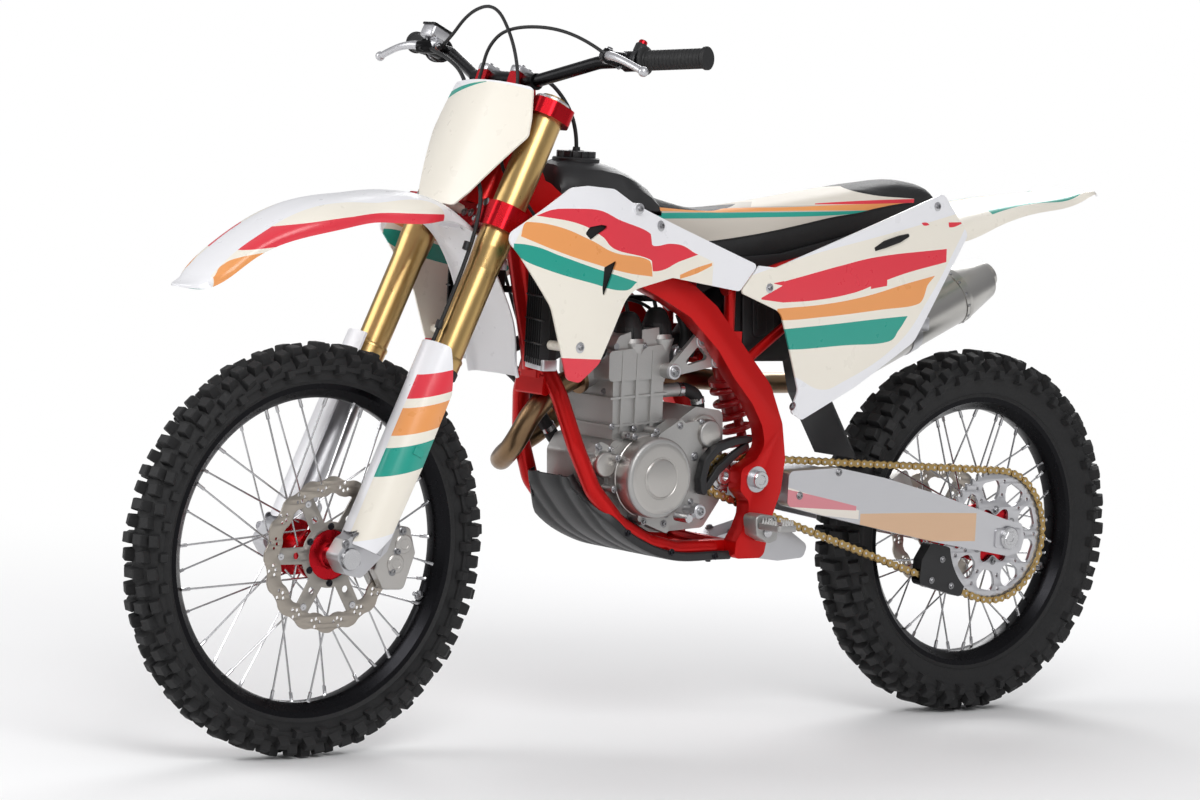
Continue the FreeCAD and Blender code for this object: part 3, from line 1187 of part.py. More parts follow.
def panels():
    """Shrouds, side panels and rear fender."""
    shroud_side = [(1252, 883, 20), (1112, 966, 30), (1073, 970, 20), (1012, 966, 30),
                   (968, 943, 30), (666, 840, 6), (708, 794, 10), (869, 817, 30), (981, 794, 60),
                   (1044, 672, 20), (1087, 640, 16), (1114, 646, 14), (1157, 768, 60),
                   (1223, 852, 20)]
    levels = [(620, 2), (770, 0), (890, 6), (985, 26)]
    band = []
    for z, tuck in levels:
        outer = [(650, 146 - tuck), (760, 152 - tuck), (900, 166 - tuck), (1030, 190 - tuck),
                 (1150, 197 - tuck), (1270, 186 - tuck)]
        band.append(ribbon(ahead(outer), PANEL, z))
    skin = Part.makeLoft(band, True, False)
    zone = side_plate(ahead(shroud_side), 90, 230, 10)
    shroud = skin.common(zone)
    upper = rod((fore(960), 60, 934), (fore(960), 170, 934), 9)
    lower = rod((fore(1112), 142 + SEAT_FIT, 700), (fore(1112), 192, 700), 8)
    vents = [[(1088, 891), (1077, 902), (1050, 906), (1030, 904), (1058, 890), (1075, 880)],
             [(1044, 835), (1012, 848), (1023, 825), (1044, 781), (1047, 800)]]
    for outline in vents:
        shroud = shroud.cut(side_plate(ahead(outline), 100, 230, 3))
    shroud = joined([shroud, upper, lower]).cut(PARTS["fuel_tank"])
    keep("shroud_left", shroud)
    keep("shroud_right", mirrored(shroud))
    panel_side = [(662, 839.0, 4), (622, 836, 20), (214, 974, 16), (147, 900, 12), (192, 835, 40),
                  (275, 705, 40), (412, 624, 30), (532, 566, 8), (562, 580, 10), (549, 618, 20),
                  (606, 758, 30), (704, 792, 6)]
    band = []
    for z, tuck in ((540, 12), (700, 0), (840, 0), (990, 8)):
        outer = [(130, 124 - tuck), (300, 134 - tuck), (480, 140 - tuck), (600, 143 - tuck),
                 (720, 146 - tuck)]
        band.append(ribbon(ahead(outer), PANEL, z))
    skin = Part.makeLoft(band, True, False)
    panel = skin.common(side_plate(ahead(panel_side), 60, 200, 8))
    upper = rod((440, 80, 859.4), (440, 138, 859.4), 8)
    lower = rod((480, 80, 770), (480, 138, 770), 8)
    panel = joined([panel, upper, lower]).cut(PARTS["subframe"])
    keep("side_panel_left", panel)
    pipe_room = side_plate([(120, 540), (640, 540), (640, 640), (380, 655), (120, 760)],
                           -200, -60, 10)
    keep("side_panel_right", mirrored(panel).cut(pipe_room))
    stations = [((302, 893), 8, 54, 4), ((280, 898), 9, 60, 6), ((230, 910), 12, 94, 24),
                ((150, 930), 11, 108, 44), ((60, 949), 10, 104, 34), ((-60, 967), 7, 94, 24),
                ((-180, 979), 4, 78, 15), ((-250, 983), 3, 50, 8)]
    sections = [sheet_section(spot, -tilt, half, drop, PANEL)
                for spot, tilt, half, drop in stations]
    cross = rod((316, -72, 884), (316, 72, 884), SUBFRAME_R + SEAT_FIT)
    tab = Part.makeBox(16, 80, 12, Vector(296, -40, 879)).cut(cross)
    keep("rear_fender", Part.makeLoft(sections, True, False).fuse(tab))


def ribbon(outer, wall, z):
    """A closed strip in the plane z: a smooth outer line and the same line moved inwards."""
    line = [Vector(x, y, z) for x, y in outer]
    back = [Vector(x, y - wall, z) for x, y in outer]
    first = Part.BSplineCurve()
    first.interpolate(line)
    second = Part.BSplineCurve()
    second.interpolate(back)
    return Part.Wire([first.toShape(), Part.makeLine(line[-1], back[-1]), second.toShape(),
                      Part.makeLine(back[0], line[0])])


def rear_brake():
    """The rear caliper with its bracket on the axle."""
    bracket = side_plate([(-32, 322), (-18, 308), (26, 308), (150, 372), (150, 430), (96, 436),
                          (26, 372), (-18, 372), (-32, 358)], -96.7, -84, 8)
    bracket = bracket.cut(rod((0, -120, REAR_AXLE[1]), (0, -60, REAR_AXLE[1]), 20.5))
    body = side_plate([(72, 396), (130, 372), (160, 420), (104, 452)], -84, -50, 10)
    slot = Part.makeCylinder(REAR_DISC_R + 4, DISC_THICK + 5,
                             Vector(0, REAR_DISC_Y - 2.5, REAR_AXLE[1]), Vector(0, 1, 0))
    keep("rear_caliper", joined([bracket, body.cut(slot)]))


def main():
    """Builds every piece, moves it to the seat origin and writes one STEP file for each."""
    front_wheel()
    rear_wheel()
    chain()
    fork()
    controls()
    front_brake()
    hoses()
    front_fender()
    number_plate()
    frame()
    engine()
    exhaust()
    skid_plate()
    swingarm()
    suspension()
    rider_controls()
    intake_and_cooling()
    tank_and_seat()
    panels()
    rear_brake()
    os.makedirs("parts", exist_ok=True)
    for name, shape in PARTS.items():
        moved = shape.copy()
        moved.translate(Vector(*SEAT_POINT) * -1)
        moved.exportStep("parts/" + name + ".step")
        box = moved.BoundBox
        print("%-18s solids %d valid %s volume %.0f box %.0f %.0f %.0f to %.0f %.0f %.0f" % (
            name, len(moved.Solids), moved.isValid(), moved.Volume,
            box.XMin, box.YMin, box.ZMin, box.XMax, box.YMax, box.ZMax))


main()
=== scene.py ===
"""Looks of the motocross motorcycle: finishes, stripes, tyres, wheels, chain and engine details.

Sizes are written in millimetres as in the CAD source, X forward from the rear axle, Y to the
rider's left and Z up from the ground, and P() turns them into the frame's metres. What turns with
the handlebar is written along the steering axis (n, y, s), and S() leans it back.
"""
import math

import bmesh
import bpy
from mathutils import Matrix, Vector
from mathutils.bvhtree import BVHTree

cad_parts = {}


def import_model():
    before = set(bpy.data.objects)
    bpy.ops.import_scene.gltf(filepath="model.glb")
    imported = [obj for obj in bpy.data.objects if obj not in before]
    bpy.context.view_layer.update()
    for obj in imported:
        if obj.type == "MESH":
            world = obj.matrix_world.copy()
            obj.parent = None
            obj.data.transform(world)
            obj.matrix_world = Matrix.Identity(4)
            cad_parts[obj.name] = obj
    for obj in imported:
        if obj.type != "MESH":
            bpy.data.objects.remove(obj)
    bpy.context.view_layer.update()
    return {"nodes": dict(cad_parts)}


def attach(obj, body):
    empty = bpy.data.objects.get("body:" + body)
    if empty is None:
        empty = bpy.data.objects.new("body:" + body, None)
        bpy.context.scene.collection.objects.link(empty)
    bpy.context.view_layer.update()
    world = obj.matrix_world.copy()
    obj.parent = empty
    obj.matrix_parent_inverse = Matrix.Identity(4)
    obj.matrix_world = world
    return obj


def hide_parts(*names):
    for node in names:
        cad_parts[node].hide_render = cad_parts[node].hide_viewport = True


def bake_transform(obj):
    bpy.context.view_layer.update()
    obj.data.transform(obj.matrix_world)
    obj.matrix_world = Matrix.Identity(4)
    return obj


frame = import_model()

SEAT_POINT = (520.0, 0.0, 938.0)
RAKE = math.radians(24.5)
FRONT_AXLE = (1490.0, 347.0)
REAR_AXLE = (0.0, 340.0)
STEER_FOOT = (FRONT_AXLE[0] - 55 * math.cos(RAKE), FRONT_AXLE[1] - 55 * math.sin(RAKE))
FRONT_SPROCKET = (676.0, 465.0)
CHAIN_Y = 85.0
CHAIN_PITCH = 15.875
FRONT_TEETH, REAR_TEETH, LINKS = 13, 48, 118
TOOTH_HALF = 3.4          # half the thickness of a sprocket
FORK_N = 22.0             # fork legs ahead of the steering axis
FORK_Y = 107.0            # and from the middle plane
LEFT, RIGHT, UP = (0, 1, 0), (0, -1, 0), (0, 0, 1)


def P(x, y, z):
    """A design point in the frame's metres."""
    return Vector(((x - SEAT_POINT[0]) / 1000, y / 1000, (z - SEAT_POINT[2]) / 1000))


def S(n, y, s):
    """A point of the steered parts in the frame's metres."""
    return P(STEER_FOOT[0] + n * math.cos(RAKE) - s * math.sin(RAKE), y,
             STEER_FOOT[1] + n * math.sin(RAKE) + s * math.cos(RAKE))


DESIGN = Matrix.Translation(P(0, 0, 0)) @ Matrix.Scale(0.001, 4)
STEERED = (Matrix.Translation(S(0, 0, 0)) @ Matrix.Rotation(-RAKE, 4, "Y") @ Matrix.Scale(0.001, 4))


def link_object(name, data):
    obj = bpy.data.objects.new(name, data)
    bpy.context.scene.collection.objects.link(obj)
    return obj


# Node trees

class Nodes:
    """A small helper that builds a node tree."""

    def __init__(self, tree):
        self.tree = tree

    def new(self, kind, **settings):
        node = self.tree.nodes.new(kind)
        for key, value in settings.items():
            setattr(node, key, value)
        return node

    def put(self, socket, value):
        """Sets a socket to a number or colour, or links another node's output to it."""
        if isinstance(value, (int, float, tuple)):
            socket.default_value = value
        else:
            self.tree.links.new(value, socket)

    def chain(self, kind, values, output=0, **settings):
        """A new node with its input sockets filled by name or number, and one of its outputs."""
        node = self.new(kind, **settings)
        for key, value in values.items():
            self.put(node.inputs[key], value)
        return node.outputs[output]

    def math(self, operation, a, b):
        return self.chain("ShaderNodeMath", {0: a, 1: b}, operation=operation)

    def mix(self, factor, a, b, blend="MIX"):
        """Colour a where the factor is 0 and b where it is 1."""
        return self.chain(
            "ShaderNodeMix", {0: factor, 6: a, 7: b}, 2, data_type="RGBA", blend_type=blend)

    def white_where_seen(self, ray, share, white, shader, output):
        """A share of plain white where the camera or another ray sees it, and a shader elsewhere."""
        path = self.new("ShaderNodeLightPath")
        seen = self.math("MAXIMUM", path.outputs["Is Camera Ray"], path.outputs[ray])
        self.put(output, self.chain("ShaderNodeMixShader", {
            0: self.math("MULTIPLY", share, seen), 1: shader, 2: white}))


class Surface(Nodes):
    """The node tree of a material, round its surface shader."""

    def __init__(self, name):
        self.mat = bpy.data.materials.new(name)
        self.mat.use_nodes = True
        super().__init__(self.mat.node_tree)
        self.surface = self.tree.nodes["Principled BSDF"]
        self.place = self.new("ShaderNodeTexCoord").outputs["Object"]

    def shade(self, values):
        for key, value in values.items():
            self.put(self.surface.inputs[key], value)

    def noise(self, scale, detail=3.0, stretch=(1, 1, 1)):
        spot = self.chain("ShaderNodeMapping", {0: self.place, "Scale": stretch})
        return self.chain(
            "ShaderNodeTexNoise", {"Scale": scale, "Detail": detail, "Vector": spot}, "Fac")

    def between(self, factor, low, high):
        """A factor of 0 to 1 spread between two numbers."""
        return self.chain("ShaderNodeMapRange", {"To Min": low, "To Max": high, "Value": factor})

    def bump(self, height, depth):
        self.shade({"Normal": self.chain("ShaderNodeBump", {"Distance": depth, "Height": height})})


# Camera and light

def camera():
    """The photograph's view: a long lens in front of the left side, a little above the axles."""
    eye = P(5438, 5697, 1189)
    yaw, pitch, roll = math.radians(141.36), math.radians(4.89), math.radians(3.17)
    back = Vector(
        (math.sin(yaw) * math.cos(pitch), -math.cos(yaw) * math.cos(pitch), math.sin(pitch)))
    data = bpy.data.cameras.new("camera")
    data.sensor_width = 36
    data.lens = 126
    data.shift_y = 0.0125
    data.clip_start, data.clip_end = 0.1, 100
    cam = link_object("camera", data)
    cam.location = eye
    cam.rotation_mode = "QUATERNION"
    cam.rotation_quaternion = (
        (-back).to_track_quat("-Z", "Y") @ Matrix.Rotation(roll, 4, "Z").to_quaternion())
    bpy.context.scene.camera = cam


def area_light(name, spot, aim, size, watts):
    """A soft rectangular lamp at a design point, turned towards another."""
    data = bpy.data.lights.new(name, "AREA")
    data.shape = "RECTANGLE"
    data.size, data.size_y = size
    data.energy = watts
    lamp = link_object(name, data)
    lamp.location = P(*spot)
    lamp.rotation_mode = "QUATERNION"
    lamp.rotation_quaternion = (P(*aim) - P(*spot)).to_track_quat("-Z", "Y")


def world():
    """White for the camera, and a soft gradient for the reflections."""
    sky = bpy.data.worlds.new("studio")
    bpy.context.scene.world = sky
    sky.use_nodes = True
    m = Nodes(sky.node_tree)
    m.tree.nodes.clear()
    out = m.new("ShaderNodeOutputWorld")
    coords = m.new("ShaderNodeTexCoord")
    height = m.chain("ShaderNodeSeparateXYZ", {0: coords.outputs["Generated"]}, "Z")
    ramp = m.new("ShaderNodeValToRGB")
    low, high = ramp.color_ramp.elements
    low.position, low.color = 0.0, (0.30, 0.30, 0.31, 1)
    high.position, high.color = 1.0, (0.95, 0.95, 0.97, 1)
    ramp.color_ramp.elements.new(0.42).color = (0.42, 0.42, 0.44, 1)
    m.put(ramp.inputs[0], m.chain("ShaderNodeMapRange", {
        "From Min": -1, "From Max": 1, "Value": height}))
    soft = m.chain("ShaderNodeBackground", {"Strength": 0.6, "Color": ramp.outputs[0]})
    white = m.chain("ShaderNodeBackground", {"Color": (1, 1, 1, 1)})
    m.white_where_seen("Is Transmission Ray", 1.0, white, soft, out.inputs[0])


def floor():
    """A pale floor that shows the machine's shadow and turns to plain white far off."""
    half, ground = 14, P(0, 0, 0).z
    mesh = bpy.data.meshes.new("floor")
    mesh.from_pydata(
        [(x, y, ground) for x, y in ((-half, -half), (half, -half), (half, half), (-half, half))],
        [], [(0, 1, 2, 3)])
    plane = link_object("floor", mesh)
    m = Surface("floor_white")
    m.shade({"Base Color": (0.9, 0.9, 0.9, 1), "Roughness": 0.9, "Specular IOR Level": 0.1})
    length = m.chain("ShaderNodeVectorMath", {0: m.place}, "Value", operation="LENGTH")
    far = m.chain("ShaderNodeMapRange", {"From Min": 1.3, "From Max": 3.2, "Value": length},
                  interpolation_type="SMOOTHSTEP")
    white = m.new("ShaderNodeEmission").outputs[0]
    m.white_where_seen("Is Glossy Ray", far, white, m.surface.outputs[0],
                       m.tree.nodes["Material Output"].inputs[0])
    mesh.materials.append(m.mat)


def studio():
    """The view, the world, the floor and three lamps."""
    camera()
    world()
    floor()
    area_light("key", (2600, 3600, 3400), (700, 0, 500), (2.6, 2.0), 112)
    area_light("fill", (4200, -1800, 2200), (800, 0, 500), (2.6, 2.0), 54)
    area_light("rim", (-2200, -2600, 2800), (500, 0, 500), (2.4, 1.6), 82)


studio()


# Materials

def linear(*rgb):
    """An sRGB colour, 0 to 255, as a linear colour."""
    shares = [value / 255 for value in rgb]
    return tuple(
        v / 12.92 if v <= 0.04045 else ((v + 0.055) / 1.055) ** 2.4 for v in shares) + (1.0,)


def finish(name, rgb, metallic=0.0, rough=(0.3, 0.4), tint=0.9, grain=60.0, bump=0.0, coat=0.0,
           stretch=(1, 1, 1), specular=0.5):
    """A surface with a little colour and roughness variation and a fine bump."""
    m = Surface(name)
    base = linear(*rgb)
    darker = tuple(c * tint for c in base[:3]) + (1.0,)
    spots = m.noise(grain, 4.0, stretch)
    m.shade({"Base Color": m.mix(m.noise(7.0, 2.0), base, darker),
             "Roughness": m.between(spots, *rough), "Metallic": metallic, "Coat Weight": coat,
             "Coat Roughness": 0.12, "Specular IOR Level": specular})
    if bump:
        m.bump(spots, bump)
    return m.mat


CREAM = linear(242, 236, 223)
WHITE = linear(240, 240, 243)
RED = linear(226, 55, 70)
ORANGE = linear(238, 160, 94)
TEAL = linear(34, 157, 140)
BEIGE = linear(200, 193, 182)
BLACK = linear(26, 26, 27)
SEAT_BORDER = [(329, 944), (374, 935), (442, 925), (553, 903), (672, 883), (740, 878)]


class Print(Surface):
    """Moulded plastic printed with bands of colour. Lines are lists of (place, height) points
    in millimetres, along the two axes that the piece is drawn in."""

    def __init__(self, name, base, drawn="side"):
        super().__init__(name)
        split = self.new("ShaderNodeSeparateXYZ")
        self.put(split.inputs[0], self.place)
        x, y, z = (self.math("MULTIPLY", split.outputs[k], 1000.0) for k in range(3))
        x = self.math("ADD", x, SEAT_POINT[0])
        z = self.math("ADD", z, SEAT_POINT[2])
        dx = self.math("SUBTRACT", x, STEER_FOOT[0])
        dz = self.math("SUBTRACT", z, STEER_FOOT[1])
        n = self.math("ADD", self.math("MULTIPLY", dx, math.cos(RAKE)),
                      self.math("MULTIPLY", dz, math.sin(RAKE)))
        up = self.math("SUBTRACT", self.math("MULTIPLY", dz, math.cos(RAKE)),
                       self.math("MULTIPLY", dx, math.sin(RAKE)))
        self.x, self.y, self.z, self.n, self.s = x, y, z, n, up
        self.across = self.math("ABSOLUTE", y, 0.0)
        self.along, self.height = (y, up) if drawn == "plate" else (x, z)
        self.colour = base

    def line(self, points):
        """The height of a drawn line at each place."""
        x0, x1 = points[0][0], points[-1][0]
        z0 = min(p[1] for p in points) - 1
        z1 = max(p[1] for p in points) + 1
        node = self.new("ShaderNodeFloatCurve")
        curve = node.mapping.curves[0]
        spots = [((x - x0) / (x1 - x0), (z - z0) / (z1 - z0)) for x, z in points]
        curve.points[0].location = spots[0]
        curve.points[-1].location = spots[-1]
        for spot in spots[1:-1]:
            curve.points.new(*spot)
        for point in curve.points:
            point.handle_type = "AUTO_CLAMPED" if len(spots) > 2 else "VECTOR"
        node.mapping.update()
        share = self.math("DIVIDE", self.math("SUBTRACT", self.along, x0), x1 - x0)
        self.put(node.inputs["Value"], share)
        return self.math("ADD", self.math("MULTIPLY", node.outputs[0], z1 - z0), z0)

    def more(self, a, b):
        return self.math("GREATER_THAN", a, b)

    def less(self, a, b):
        return self.math("LESS_THAN", a, b)

    def above(self, points):
        return self.more(self.height, self.line(points))

    def below(self, points):
        return self.less(self.height, self.line(points))

    def both(self, a, b):
        return self.math("MULTIPLY", a, b)

    def band(self, upper, lower):
        """1 between an upper and a lower line, within their ends."""
        inside = self.both(self.below(upper), self.above(lower))
        start = self.more(self.along, max(upper[0][0], lower[0][0]))
        end = self.less(self.along, min(upper[-1][0], lower[-1][0]))
        return self.both(inside, self.both(start, end))

    def paint(self, colour, mask):
        self.colour = self.mix(mask, self.colour, colour)

    def stripes(self, *rows):
        """Paints bands, each given by its colour, its upper line and its lower line."""
        for colour, upper, lower in rows:
            self.paint(colour, self.band(upper, lower))

    def moulded(self):
        """Adds the plastic's own small variations and gives the finished material."""
        cloud = self.mix(self.noise(6.0, 2.0), (1, 1, 1, 1), (0.955, 0.955, 0.95, 1))
        self.shade({"Base Color": self.mix(1.0, self.colour, cloud, "MULTIPLY"),
                    "Roughness": self.between(self.noise(40.0, 3.0), 0.24, 0.34),
                    "Coat Weight": 0.15, "Coat Roughness": 0.15})
        self.bump(self.noise(420.0, 2.0), 0.000015)
        return self.mat


def shroud_print():
    """The stripes of the radiator shrouds, which run up and forward to the tip."""
    m = Print("shroud_print", CREAM)
    red_top = [(809, 857), (876, 875), (915, 871), (924, 874), (926, 891), (1000, 913), (1081, 932),
               (1143, 931), (1190, 919)]
    m.paint(WHITE, m.above([(760, 840)] + red_top + [(1260, 880)]))
    m.paint(WHITE, m.above([(1186, 990), (1200, 925), (1222, 892), (1240, 858), (1256, 810)]))
    m.paint(WHITE, m.below([(600, 900), (764, 898), (776, 780), (790, 740)]))
    m.stripes((RED, red_top, [(809, 857), (850, 846), (920, 828), (924, 846), (1020, 866),
                              (1050, 887), (1106, 908), (1190, 919)]))
    m.paint(RED, m.below([(1000, 678), (1160, 684)]))
    m.stripes(
        (ORANGE, [(921, 819), (930, 846), (1021, 860), (1075, 880), (1159, 904), (1207, 908),
                  (1221, 885)], [(921, 819), (982, 825), (1072, 842), (1138, 858), (1221, 884)]),
        (ORANGE, [(776, 843), (814, 834), (852, 822)], [(776, 838), (814, 824), (852, 815)]),
        (TEAL, [(960, 810), (1072, 835), (1137, 852), (1212, 871), (1235, 872)],
         [(960, 810), (994, 796), (1070, 808), (1184, 834), (1215, 845), (1235, 861)]))
    return m.moulded()


def side_panel_print():
    """The stripes of the side panels, below the seat."""
    m = Print("side_panel_print", CREAM)
    m.paint(WHITE, m.above([(100, 956), (284, 914), (400, 889), (537, 860), (680, 822)]))
    m.paint(WHITE, m.below([(130, 990), (155, 916), (182, 873), (247, 780), (311, 706), (445, 633),
                            (488, 620), (560, 643), (620, 660)]))
    m.stripes(
        (RED, [(203, 874), (376, 858), (468, 841), (556, 822), (602, 812)],
         [(203, 850), (302, 830), (372, 811), (439, 792), (530, 779), (602, 775)]),
        (RED, [(602, 806), (654, 783)], [(602, 775), (654, 780)]),
        (RED, [(602, 813), (626, 809)], [(602, 804), (626, 808)]),
        (RED, [(352, 817), (392, 806)], [(352, 806), (392, 800)]),
        (ORANGE, [(232, 825), (300, 811), (415, 785), (507, 772), (615, 764)],
         [(232, 824), (249, 808), (270, 774), (366, 763), (503, 750), (601, 744), (615, 763)]),
        (TEAL, [(296, 752), (364, 747), (480, 737), (597, 728)],
         [(296, 751), (317, 725), (339, 706), (452, 699), (581, 692), (597, 727)]),
        (RED, [(249, 917), (261, 921), (270, 920)], [(249, 917), (261, 915), (270, 919)]),
        (RED, [(162, 923), (200, 922)], [(162, 921), (197, 913), (200, 920)]))
    return m.moulded()


def rear_fender_print():
    """A white middle between cream edges with teal and orange stripes, drawn from above."""
    m = Print("rear_fender_print", CREAM)
    m.paint(WHITE, m.less(m.across, 62.0))
    m.height = m.across
    m.stripes(
        (CREAM, [(-226, 70), (150, 96)], [(-226, 10), (150, 10)]),
        (TEAL, [(-205, 63), (-180, 68), (-60, 83), (60, 92)],
         [(-205, 58), (-180, 50), (-60, 60), (60, 70)]),
        (ORANGE, [(-190, 47), (-60, 56), (40, 64)], [(-190, 43), (-60, 51), (40, 58)]))
    return m.moulded()


def front_fender_print():
    """Cream sides with red and orange bands, and a white ridge that widens to the rear."""
    m = Print("front_fender_print", CREAM)
    m.stripes(
        (RED, [(1225, 893), (1300, 912), (1400, 913), (1500, 904), (1571, 893), (1620, 884),
               (1652, 872), (1686, 848)],
         [(1225, 860), (1300, 880), (1400, 882), (1480, 874), (1540, 866), (1600, 856),
          (1686, 844)]),
        (ORANGE, [(1560, 857), (1600, 849), (1650, 842), (1690, 833), (1712, 820), (1730, 800)],
         [(1560, 852), (1600, 830), (1640, 812), (1690, 790), (1730, 780)]))
    ridge = m.line([(1060, 220), (1190, 200), (1240, 92), (1330, 82), (1415, 76), (1498, 62),
                    (1544, 52), (1590, 46), (1641, 45), (1687, 42), (1732, 42), (1760, 44)])
    m.paint(WHITE, m.less(m.across, ridge))
    m.paint(WHITE, m.more(m.x, 1731.0))
    tip = m.both(m.more(m.y, 24.0), m.more(m.x, 1736.0))
    m.paint(TEAL, m.both(tip, m.less(m.z, 781.0)))
    return m.moulded()


def plate_print():
    """The number plate, left blank: cream below a white edge and a teal wedge."""
    m = Print("plate_print", CREAM, drawn="plate")
    m.paint(WHITE, m.above([(-140, 833), (-60, 841), (0, 849), (140, 846)]))
    m.stripes((TEAL, [(-128, 833), (-60, 842), (4, 849)], [(-128, 820), (-60, 834), (4, 848)]))
    return m.moulded()


def guard_print():
    """The fork guards: bands on the left one, which slope down to the rear."""
    m = Print("guard_print", WHITE)
    level = m.math("ADD", m.s, m.math("MULTIPLY", m.math("SUBTRACT", m.n, 21.0), 0.75))
    outside = m.more(m.y, 116.0)
    for colour, low, high in ((CREAM, 60.0, 345.0), (RED, 317.0, 361.0), (ORANGE, 250.0, 300.0),
                              (TEAL, 176.0, 228.0)):
        m.paint(colour, m.both(m.both(m.more(level, low), m.less(level, high)), outside))
    return m.moulded()


def arm_print():
    """The swingarm's brushed alloy, with pale printed patches on its outer left face."""
    m = Print("arm_print", linear(206, 206, 209))
    outside = m.more(m.y, 124.0)
    for colour, upper, lower in (
            (linear(243, 236, 226), [(376, 400), (566, 450)], [(376, 384), (566, 404)]),
            (linear(226, 150, 158), [(383, 408), (464, 425), (566, 445)],
             [(383, 400), (464, 405), (566, 412)]),
            (linear(226, 190, 158), [(84, 388), (230, 392), (372, 394)],
             [(84, 336), (226, 341), (372, 362)])):
        m.paint(colour, m.both(outside, m.band(upper, lower)))
    brushed = m.between(m.noise(160.0, 3.0, (0.1, 1, 1)), 0.28, 0.42)
    m.shade({"Base Color": m.colour, "Metallic": 0.85, "Roughness": brushed})
    m.bump(m.noise(300.0, 2.0, (0.06, 1, 1)), 0.00004)
    return m.mat


def seat_print():
    """The seat cover: grained black vinyl, with stripes over its sides and top, the same on both
    sides, and over the top a lighter copy of the sides' beige, a painted highlight. The stripes
    are drawn on the side's plane, and carried over the top along slanted lines."""
    m = Print("seat_print", BLACK)
    inward = m.math("SUBTRACT", 84.0, m.across)
    m.along = m.math("ADD", m.x, m.math("MULTIPLY", inward, 0.9))
    m.height = m.math("ADD", m.z, m.math("MULTIPLY", inward, 0.101))
    start, end = 250.0, 860
    border = [(start, 955)] + SEAT_BORDER + [(end, 878)]
    ceiling = [
        (start, 1040), (640, 1040), (668, 960), (700, 937), (741, 930), (773, 929), (end, 934)]
    m.stripes((BEIGE, ceiling, border),
              # lighter copy of the beige over the seat's top: painted highlight where the top faces
              # the lamps
              (linear(226, 219, 207), ceiling[:2], [(start, 953), (398, 948), (640, 941)]))
    m.paint(BLACK, m.above([(240, 962), (360, 968), (430, 984), (460, 1100), (900, 1100)]))
    m.stripes(
        (ORANGE, [(start, 958), (329, 952), (455, 946), (556, 941), (698, 938), (741, 932),
                  (end, 936)],
         [(start, 944), (356, 939), (555, 934), (698, 930), (741, 929), (end, 929)]),
        (RED, [(start, 962), (376, 956), (489, 949)], [(start, 955), (398, 949), (489, 947)]),
        (TEAL, [(300, 946), (374, 938), (555, 932), (773, 928), (end, 925)],
         [(300, 945), (442, 928), (664, 920), (819, 916), (end, 915)]))
    m.paint(BLACK, m.below(border))
    m.paint(BLACK, m.less(m.along, start))
    m.shade({"Base Color": m.colour, "Roughness": m.between(m.noise(240.0, 3.0), 0.5, 0.68)})
    m.bump(m.chain("ShaderNodeTexVoronoi", {"Scale": 700.0, "Vector": m.place}, "Distance"), 0.00025)
    return m.mat


MAT = {key: finish(name, rgb, **options) for key, name, rgb, options in (
    ("tyre", "tyre_rubber", (27, 27, 28), dict(rough=(0.62, 0.82), tint=0.75, grain=220,
                                               bump=0.0004)),
    ("rubber", "soft_rubber", (22, 22, 23), dict(rough=(0.5, 0.7), grain=300, bump=0.0002)),
    ("black_plastic", "black_plastic", (28, 28, 30), dict(rough=(0.38, 0.55), grain=900,
                                                          bump=0.0001)),
    ("black_metal", "black_metal", (16, 16, 18), dict(metallic=0.7, rough=(0.22, 0.36))),
    ("rim_black", "rim_black", (20, 20, 23), dict(metallic=0.85, rough=(0.22, 0.34))),
    ("frame_red", "frame_red", (205, 18, 18), dict(metallic=0.55, rough=(0.26, 0.36), tint=0.8,
                                                   coat=0.12, specular=0.25)),
    ("red", "anodised_red", (190, 22, 34), dict(metallic=0.9, rough=(0.22, 0.34), tint=0.8)),
    ("gold", "anodised_gold", (196, 164, 108), dict(metallic=0.95, rough=(0.24, 0.34), grain=90,
                                                    stretch=(1, 1, 0.15))),
    ("alloy", "satin_alloy", (205, 205, 208), dict(metallic=0.9, rough=(0.3, 0.44), tint=0.88)),
    ("cast", "cast_alloy", (186, 185, 183), dict(metallic=0.85, rough=(0.4, 0.56), tint=0.82,
                                                 grain=420, bump=0.00025)),
    ("cover", "cover_alloy", (196, 193, 189), dict(metallic=0.92, rough=(0.3, 0.44), tint=0.86,
                                                   grain=300, bump=0.0001)),
    ("steel", "bright_steel", (196, 196, 198), dict(metallic=1.0, rough=(0.18, 0.3))),
    ("disc", "disc_steel", (178, 170, 160), dict(metallic=1.0, rough=(0.26, 0.42), grain=160)),
    ("bolt", "bolt_steel", (150, 150, 152), dict(metallic=1.0, rough=(0.24, 0.36))),
    ("dark_bolt", "dark_bolt", (50, 50, 54), dict(metallic=1.0, rough=(0.3, 0.42))),
    ("pipe", "header_pipe", (150, 122, 92), dict(metallic=1.0, rough=(0.24, 0.4), tint=0.62,
                                                 grain=30)),
    ("muffler", "muffler_metal", (190, 188, 184), dict(metallic=1.0, rough=(0.24, 0.38), tint=0.85,
                                                       grain=140, stretch=(0.2, 1, 1))),
    ("chain", "chain_gold", (176, 148, 96), dict(metallic=1.0, rough=(0.26, 0.42))),
    ("spring", "spring_red", (186, 24, 30), dict(rough=(0.24, 0.34), coat=0.4)),
    ("core", "radiator_core", (26, 26, 28), dict(metallic=0.3, rough=(0.5, 0.7), grain=500)),
    ("carrier", "carrier_alloy", (168, 163, 156), dict(metallic=0.95, rough=(0.3, 0.44),
                                                       tint=0.86)),
    # near-black used as painted shade: the dark in the shroud vents and in the panel slots
    ("inside", "painted_shade_black", (14, 14, 15), dict(rough=(0.7, 0.9))),
)}
MAT.update(
    shroud=shroud_print(), side_panel=side_panel_print(), rear_fender=rear_fender_print(),
    front_fender=front_fender_print(), plate=plate_print(), guard=guard_print(), arm=arm_print(),
    seat=seat_print())


# Building blocks

def turns(count, start=0.0):
    """Even angles round a full turn, from a share of the first step."""
    return [2 * math.pi * (k + start) / count for k in range(count)]


